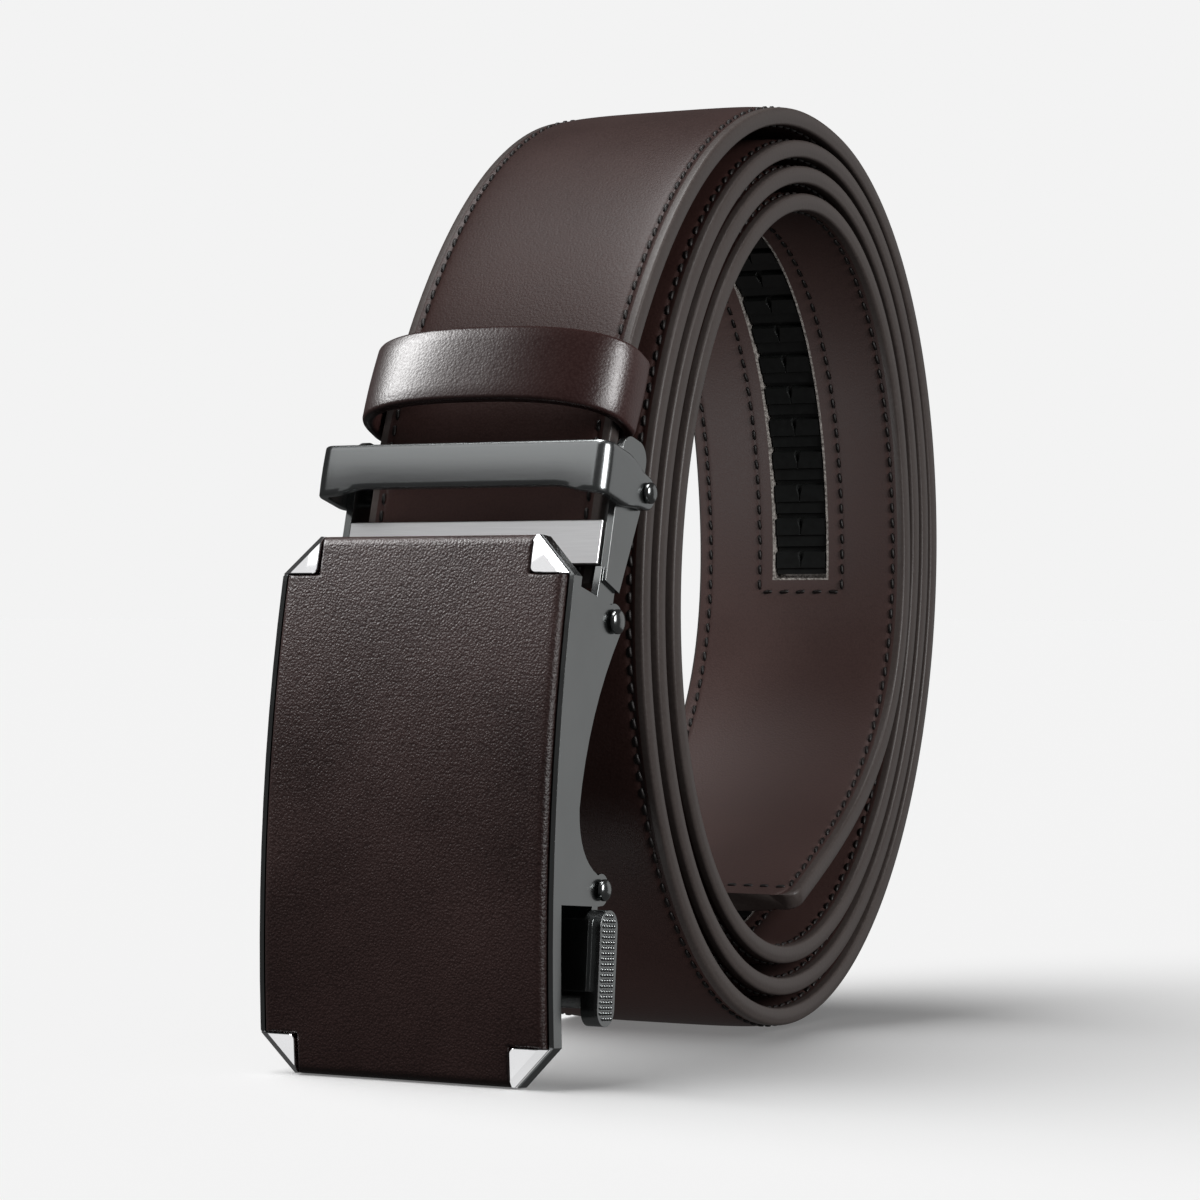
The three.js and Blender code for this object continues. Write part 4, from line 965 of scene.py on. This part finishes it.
def crowded(count, power=2.2):
    """Numbers from -1 to 1 that lie closer together towards both ends."""
    even = np.linspace(-1, 1, count)
    return np.sign(even) * (1 - (1 - np.abs(even)) ** power)


def edge_lines(ends, steps):
    """Grid lines between ends that crowd towards each of them, so that rolled edges stay round."""
    lines = [(low + high) / 2 + (high - low) / 2 * crowded(count)
             for low, high, count in zip(ends[:-1], ends[1:], steps)]
    return np.unique(np.concatenate(lines).round(6))


def slab(front, back, kept):
    """Faces of a front grid and the same grid behind it where kept is true, joined along the border."""
    rows, columns = front.shape[:2]
    size = rows * columns
    cells = grid_faces(rows, columns)[kept.ravel()]
    sides = np.concatenate([cells[:, [k, (k + 1) % 4]] for k in range(4)])
    twin = set(map(tuple, sides.tolist()))
    border = np.array([side for side in sides.tolist() if (side[1], side[0]) not in twin])
    wall = np.stack([border[:, 1], border[:, 0], border[:, 0] + size, border[:, 1] + size], axis=1)
    faces = np.concatenate([cells, cells[:, ::-1] + size, wall])
    used, renumbered = np.unique(faces, return_inverse=True)
    points = np.concatenate([front.reshape(-1, 3), back.reshape(-1, 3)])[used]
    return points, renumbered.reshape(faces.shape).tolist()


notch = CAP_LEG + CAP_SEAM
u_lines = edge_lines([-panel_half, notch - panel_half, panel_half - notch, panel_half], (17, 41, 17))
v_lines = edge_lines([0, notch, BUCKLE_HEIGHT - notch, BUCKLE_HEIGHT], (17, 61, 17))
across, height = np.meshgrid(u_lines, v_lines)
from_side = panel_half - np.abs(across)
from_end = np.minimum(height, BUCKLE_HEIGHT - height)
outer_edge = np.minimum(from_side, from_end)
notch_edge = np.hypot(np.clip(from_side - notch, 0, None), np.clip(from_end - notch, 0, None))


def rolled(distance, radius):
    """How far a rolled edge has dropped at a distance inside the outline: a quarter circle."""
    inside = np.clip(radius - distance, 0, radius)
    return radius - np.sqrt(radius ** 2 - inside ** 2)


beside_notch = (from_side < notch + NOTCH_ROLL) & (from_end < notch + NOTCH_ROLL)
drop = np.maximum(rolled(outer_edge, PANEL_ROLL),
                  np.where(beside_notch, rolled(notch_edge, NOTCH_ROLL), 0))
front = on_face(across, height, -drop)
back = on_face(across, height, np.full(across.shape, -PANEL_DEPTH))
in_notch = (from_side < notch - HAIR) & (from_end < notch - HAIR)
cell_out = in_notch[:-1, :-1] | in_notch[1:, :-1] | in_notch[:-1, 1:] | in_notch[1:, 1:]
panel_points, panel_faces = slab(front, back, ~cell_out)
panel = make_piece("panel_leather", panel_points, panel_faces, panel_leather, "buckle", smooth_deg=50)
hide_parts("face_panel")

# %% [markdown]
# ## Corner caps
# Each cap fills its notch and covers the tray's cut corner: a crown with one rounded inner corner, a
# bevel that falls to the long edge, and straight sides. All four are one outline, mirrored.

# %% Corner caps
CAP_INNER = 5.85  # from the buckle's side to the cap's inner side
CAP_LONG_EDGE = 5.35  # the long edge cuts both sides at this distance from the corner
CAP_ROUND = 0.8
CAP_PROUD = 0.25
CAP_BEVEL = 0.85
CAP_BEVEL_DROP = 0.55
# for each ring round a cap, from its foot up: inset at the legs, inset at the long edge, height
CAP_RINGS = (
    (0.02, 0, -PANEL_DEPTH),
    (0, 0, CAP_PROUD - CAP_BEVEL_DROP - 0.12),
    (0.04, 0.06, CAP_PROUD - CAP_BEVEL_DROP),
    (0.06, CAP_BEVEL, CAP_PROUD - 0.08),
    (0.14, CAP_BEVEL + 0.1, CAP_PROUD),
)
buckle_half = (box_mm("buckle_frame")[1][0] - box_mm("buckle_frame")[0][0]) / 2


def cap_outline(inset, bevel):
    """Once round the cap, inwards from the buckle's corner: inset at the legs, bevel at the long edge."""
    inner, leg, cut = CAP_INNER - inset, CAP_LEG - inset, CAP_LONG_EDGE + bevel * np.sqrt(2)
    rounding = CAP_ROUND - inset
    corner = arc(np.array([inner - rounding, leg - rounding]), rounding, 0, 90, 9)
    flat_start = max(cut - inner, inset)
    return np.concatenate([
        [[inner, flat_start], [inner, (flat_start + leg) / 2]], corner,
        [[inner - rounding, leg], [(inner + cut - leg) / 2, leg], [cut - leg, leg]],
        [[(cut - leg + min(inner, cut - inset)) / 2, (leg + flat_start) / 2]],
        [[min(inner - HAIR, cut - inset), flat_start]],
    ])


def cap_ring(inset, bevel, out, sign, foot, way_up):
    """One ring on the buckle's face; near the long edge it stays under the bevel's slope."""
    outline = cap_outline(inset, bevel)
    up_slope = np.clip((outline.sum(axis=1) - CAP_LONG_EDGE) / np.sqrt(2) / CAP_BEVEL, 0, 1)
    ring_out = np.minimum(out, CAP_PROUD - CAP_BEVEL_DROP * (1 - up_slope))
    return on_face(sign * (buckle_half - outline[:, 0]), foot + way_up * outline[:, 1], ring_out)


for end, foot, way_up in (("top", BUCKLE_HEIGHT, -1), ("bottom", 0, 1)):
    for side, sign in (("left", -1), ("right", 1)):
        cap_grid = np.array([cap_ring(*ring, sign, foot, way_up) for ring in CAP_RINGS])
        cap = make_piece(f"corner_cap_{end}_{side}", cap_grid, closed_tube(cap_grid),
                         corner_chrome, "buckle", smooth_deg=25)
        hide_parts(f"cap_{end}_{side}")

# %% [markdown]
# ## Knurled tab
# The release tab's outer face is knurled, so that a finger holds it: rows of small beads. They are
# one mesh of half-balls, set on a grid that keeps clear of the tab's rounded corners.

# %% Knurling
LEVER_HEIGHT = 25  # the lever's pin, measured as the hinge is
LEVER_BEHIND = 10.8
TAB_HEIGHT = 14.6
TAB_DEPTH = 4.6
TAB_ROUNDING = 2.2
TAB_DROP = 9.8
TAB_FORWARD = 2.5
BEAD_PITCH = 0.68
BEAD_RADIUS = 0.3
BEAD_MARGIN = 0.45
BEAD_SIDES = 10
BEAD_SUNK = 0.05  # of each bead's middle, behind the tab's face

tab_face_x = box_mm("release_lever")[1][0]
tab_up, tab_out = LEVER_HEIGHT - TAB_DROP, TAB_FORWARD - LEVER_BEHIND
bead_up, bead_out = np.meshgrid(
    np.arange(-TAB_HEIGHT / 2, TAB_HEIGHT / 2, BEAD_PITCH) + BEAD_PITCH / 2,
    np.arange(-TAB_DEPTH / 2, TAB_DEPTH / 2, BEAD_PITCH) + BEAD_PITCH / 2, indexing="ij")
corner_up = np.clip(np.abs(bead_up) - (TAB_HEIGHT / 2 - TAB_ROUNDING), 0, None)
corner_out = np.clip(np.abs(bead_out) - (TAB_DEPTH / 2 - TAB_ROUNDING), 0, None)
on_tab = np.hypot(corner_up, corner_out) < TAB_ROUNDING - BEAD_MARGIN
bead_yz = (buckle_foot + (tab_up + bead_up[on_tab])[:, None] * face_up
           + (tab_out + bead_out[on_tab])[:, None] * face_out)
bead_rise = np.radians([-20, 15, 50, 80])
bead_turn = np.linspace(0, 2 * np.pi, BEAD_SIDES, endpoint=False)
ball_out = BEAD_RADIUS * np.cos(bead_rise)[:, None]
ball = np.stack([np.repeat(BEAD_RADIUS * np.sin(bead_rise)[:, None], BEAD_SIDES, axis=1),
                 ball_out * np.cos(bead_turn), ball_out * np.sin(bead_turn)], axis=-1)
bead_middles = np.concatenate([np.full((len(bead_yz), 1), tab_face_x - BEAD_SUNK), bead_yz], axis=1)
beads = bead_middles[:, None, None] + ball[None]
knurling = make_piece("tab_knurling", beads, repeated_tube(ball, len(beads)), gunmetal, "release",
                      smooth_deg=60)

# %% [markdown]
# ## Machined parts
# The clamp's walls, the plate, the jaw, the buckle's tray and the release lever keep their CAD
# solids. Three modifiers finish them: the loose triangles are welded, flat ones are joined, and every
# real edge gets a small bevel, which is what catches the light on real metal.

# %% Bevels on the machined parts
WELD_REACH = 0.002
FLAT_DEG = 1.5  # triangles that meet at less than this are one flat face
EDGE_DEG = 32  # an edge sharper than this gets a bevel


def finish_machined(node, material, bevel):
    """Weld, join flat triangles, bevel the sharp edges; the solid itself stays as it is."""
    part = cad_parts[node]
    part.data.materials.clear()
    part.data.materials.append(material)
    weld = part.modifiers.new("weld", "WELD")
    weld.merge_threshold = WELD_REACH * MM
    flat = part.modifiers.new("join_flat", "DECIMATE")
    flat.decimate_type = "DISSOLVE"
    flat.angle_limit = np.radians(FLAT_DEG)
    edge = part.modifiers.new("bevel", "BEVEL")
    edge.width = bevel * MM
    edge.segments = 3
    edge.limit_method = "ANGLE"
    edge.angle_limit = np.radians(EDGE_DEG)
    edge.harden_normals = False
    print(node, "finished with", material.name)


for node in ("clamp_base", "clamp_jaw", "buckle_frame"):
    finish_machined(node, gunmetal, bevel=0.15)
finish_machined("release_lever", gunmetal, bevel=0.6)
finish_machined("clamp_plate", bright_plate, bevel=0.12)

# %% [markdown]
# ## Studio
# The floor is pale paper that glows a little, so that it stays pale in soft shadow; past its far
# edge the camera sees a plain surround of the same tone. A wide sun from the back left throws the
# soft shadow. Softboxes light the belt alone: that is what keeps the paper even. The paper sends no
# light back, so the belt's undersides stay as deep as in the photograph; it throws no shadow either,
# so weak cards can make up for it from below, on the corner caps and the strap.

# %% Studio
PAPER_GLOW = 0.155
PAPER_WHITE = 0.8
BACKGROUND = 0.896  # what the camera sees past the paper
FLOOR_HALF = 20000
SUN_WAY = (-0.586, -0.175, 0.79)  # from the belt to the sun
SUN_STRENGTH = 3.4
SUN_WIDTH_DEG = 72
SUN_PLACE = (0, 0, 2000)  # any place will do: a sun's light is the same everywhere
AIM_HEIGHT = 60  # the softboxes stand round this height of the belt and shine on it
SKY = 0.075  # the light that the surround sends on everything

paper, _, paper_shader = blank_material("paper_floor", 0.9, specular=0.0)
paper_shader.inputs["Base Color"].default_value = (PAPER_WHITE, PAPER_WHITE, PAPER_WHITE, 1)
paper_shader.inputs["Emission Color"].default_value = (1, 1, 1, 1)
paper_shader.inputs["Emission Strength"].default_value = PAPER_GLOW
floor_corners = np.array([(-1, -1, 0), (1, -1, 0), (1, 1, 0), (-1, 1, 0)]) * FLOOR_HALF * MM
floor_mesh = bpy.data.meshes.new("paper_floor")
floor_mesh.from_pydata(floor_corners.tolist(), [], [(0, 1, 2, 3)])
floor_mesh.materials.append(paper)
floor = bpy.data.objects.new("paper_floor", floor_mesh)
floor.visible_diffuse = False
floor.visible_glossy = False
floor.visible_shadow = False
scene.collection.objects.link(floor)
floor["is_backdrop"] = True

world = bpy.data.worlds.new("sky")
world.use_nodes = True
world.node_tree.nodes["Background"].inputs["Color"].default_value = (1, 1, 1, 1)
ray_kind = world.node_tree.nodes.new("ShaderNodeLightPath")
extra = math_node(world.node_tree, "MULTIPLY", ray_kind.outputs["Is Camera Ray"], BACKGROUND - SKY)
strength = math_node(world.node_tree, "ADD", extra, SKY)
world.node_tree.links.new(strength, world.node_tree.nodes["Background"].inputs["Strength"])
scene.world = world


def towards(way):
    """Rotation that turns a light at the end of way back towards where way starts."""
    flat_reach = np.hypot(way[0], way[1])
    return (np.arctan2(flat_reach, way[2]), 0, np.arctan2(way[0], -way[1]))


def add_lamp(name, kind, place, way, energy):
    """A lamp of one kind at a place in millimetres, shining against way."""
    light = bpy.data.lights.new(name, kind)
    light.energy = energy
    lamp = bpy.data.objects.new(name, light)
    lamp.location = [value * MM for value in place]
    lamp.rotation_euler = towards(way)
    scene.collection.objects.link(lamp)
    return lamp


sun = add_lamp("low_sun", "SUN", SUN_PLACE, SUN_WAY, SUN_STRENGTH)
sun.data.angle = np.radians(SUN_WIDTH_DEG)
paper_only = bpy.data.collections.new("lit_by_sun")
paper_only.objects.link(floor)
sun.light_linking.receiver_collection = paper_only


def lit(name, wanted):
    """A collection for one light: the belt's pieces whose names wanted accepts."""
    group = bpy.data.collections.new(name)
    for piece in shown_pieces():
        if wanted(piece.name):
            group.objects.link(piece)
    return group


LEATHER_BANDS = ("strap_leather", "keeper_leather")
belt_only = lit("lit_by_softboxes", lambda name: True)
hardware_only = lit("lit_by_front_card", lambda name: name not in LEATHER_BANDS)
not_keeper = lit("not_the_keeper", lambda name: name != "keeper_leather")
keeper_only = lit("lit_by_keeper_cards", lambda name: name == "keeper_leather")
panel_only = lit("lit_by_panel_card", lambda name: name == "panel_leather")
strap_only = lit("lit_by_paper_light", lambda name: name == "strap_leather")
caps_only = lit("lit_by_cap_card", lambda name: name.startswith("corner_cap"))


def softbox(name, turn_deg, rise_deg, distance, width, height, glow, receivers=belt_only):
    """A rectangle of light round the belt: turn from the front, positive to the right; glow is radiance."""
    turn, rise = np.radians(turn_deg), np.radians(rise_deg)
    way = np.array([np.sin(turn) * np.cos(rise), -np.cos(turn) * np.cos(rise), np.sin(rise)])
    place = way * distance + [0, 0, AIM_HEIGHT]
    lamp = add_lamp(name, "AREA", place, way, glow * np.pi * width * height * MM ** 2)
    lamp.data.shape = "RECTANGLE"
    lamp.data.size = width * MM
    lamp.data.size_y = height * MM
    lamp.light_linking.receiver_collection = receivers


# name, turn and rise in degrees, distance, width and height in millimetres, glow, what it lights
softbox("key_box", -25, 78, 850, 550, 550, 8, not_keeper)
softbox("front_card", -30, 39, 1000, 700, 420, 1.0, hardware_only)
softbox("right_strip", 70, 17, 900, 160, 600, 4, not_keeper)
softbox("keeper_left", -72, 38, 900, 260, 420, 36, keeper_only)
softbox("keeper_right", 92, 30, 900, 260, 420, 26, keeper_only)
softbox("lining_box", 75, 20, 900, 450, 500, 8)
softbox("back_right_card", 152, 5, 1000, 700, 700, 0.4)
softbox("cap_card", -15, -5, 1000, 1800, 2000, 0.85, caps_only)
softbox("cap_side_card", 180, -25, 900, 900, 700, 0.7, caps_only)
softbox("panel_card", -60, 37, 380, 180, 150, 26, panel_only)
softbox("cap_low_card", 15, -62, 900, 1200, 900, 0.75, caps_only)
softbox("paper_light", -28, -20, 900, 500, 700, 4, strap_only)
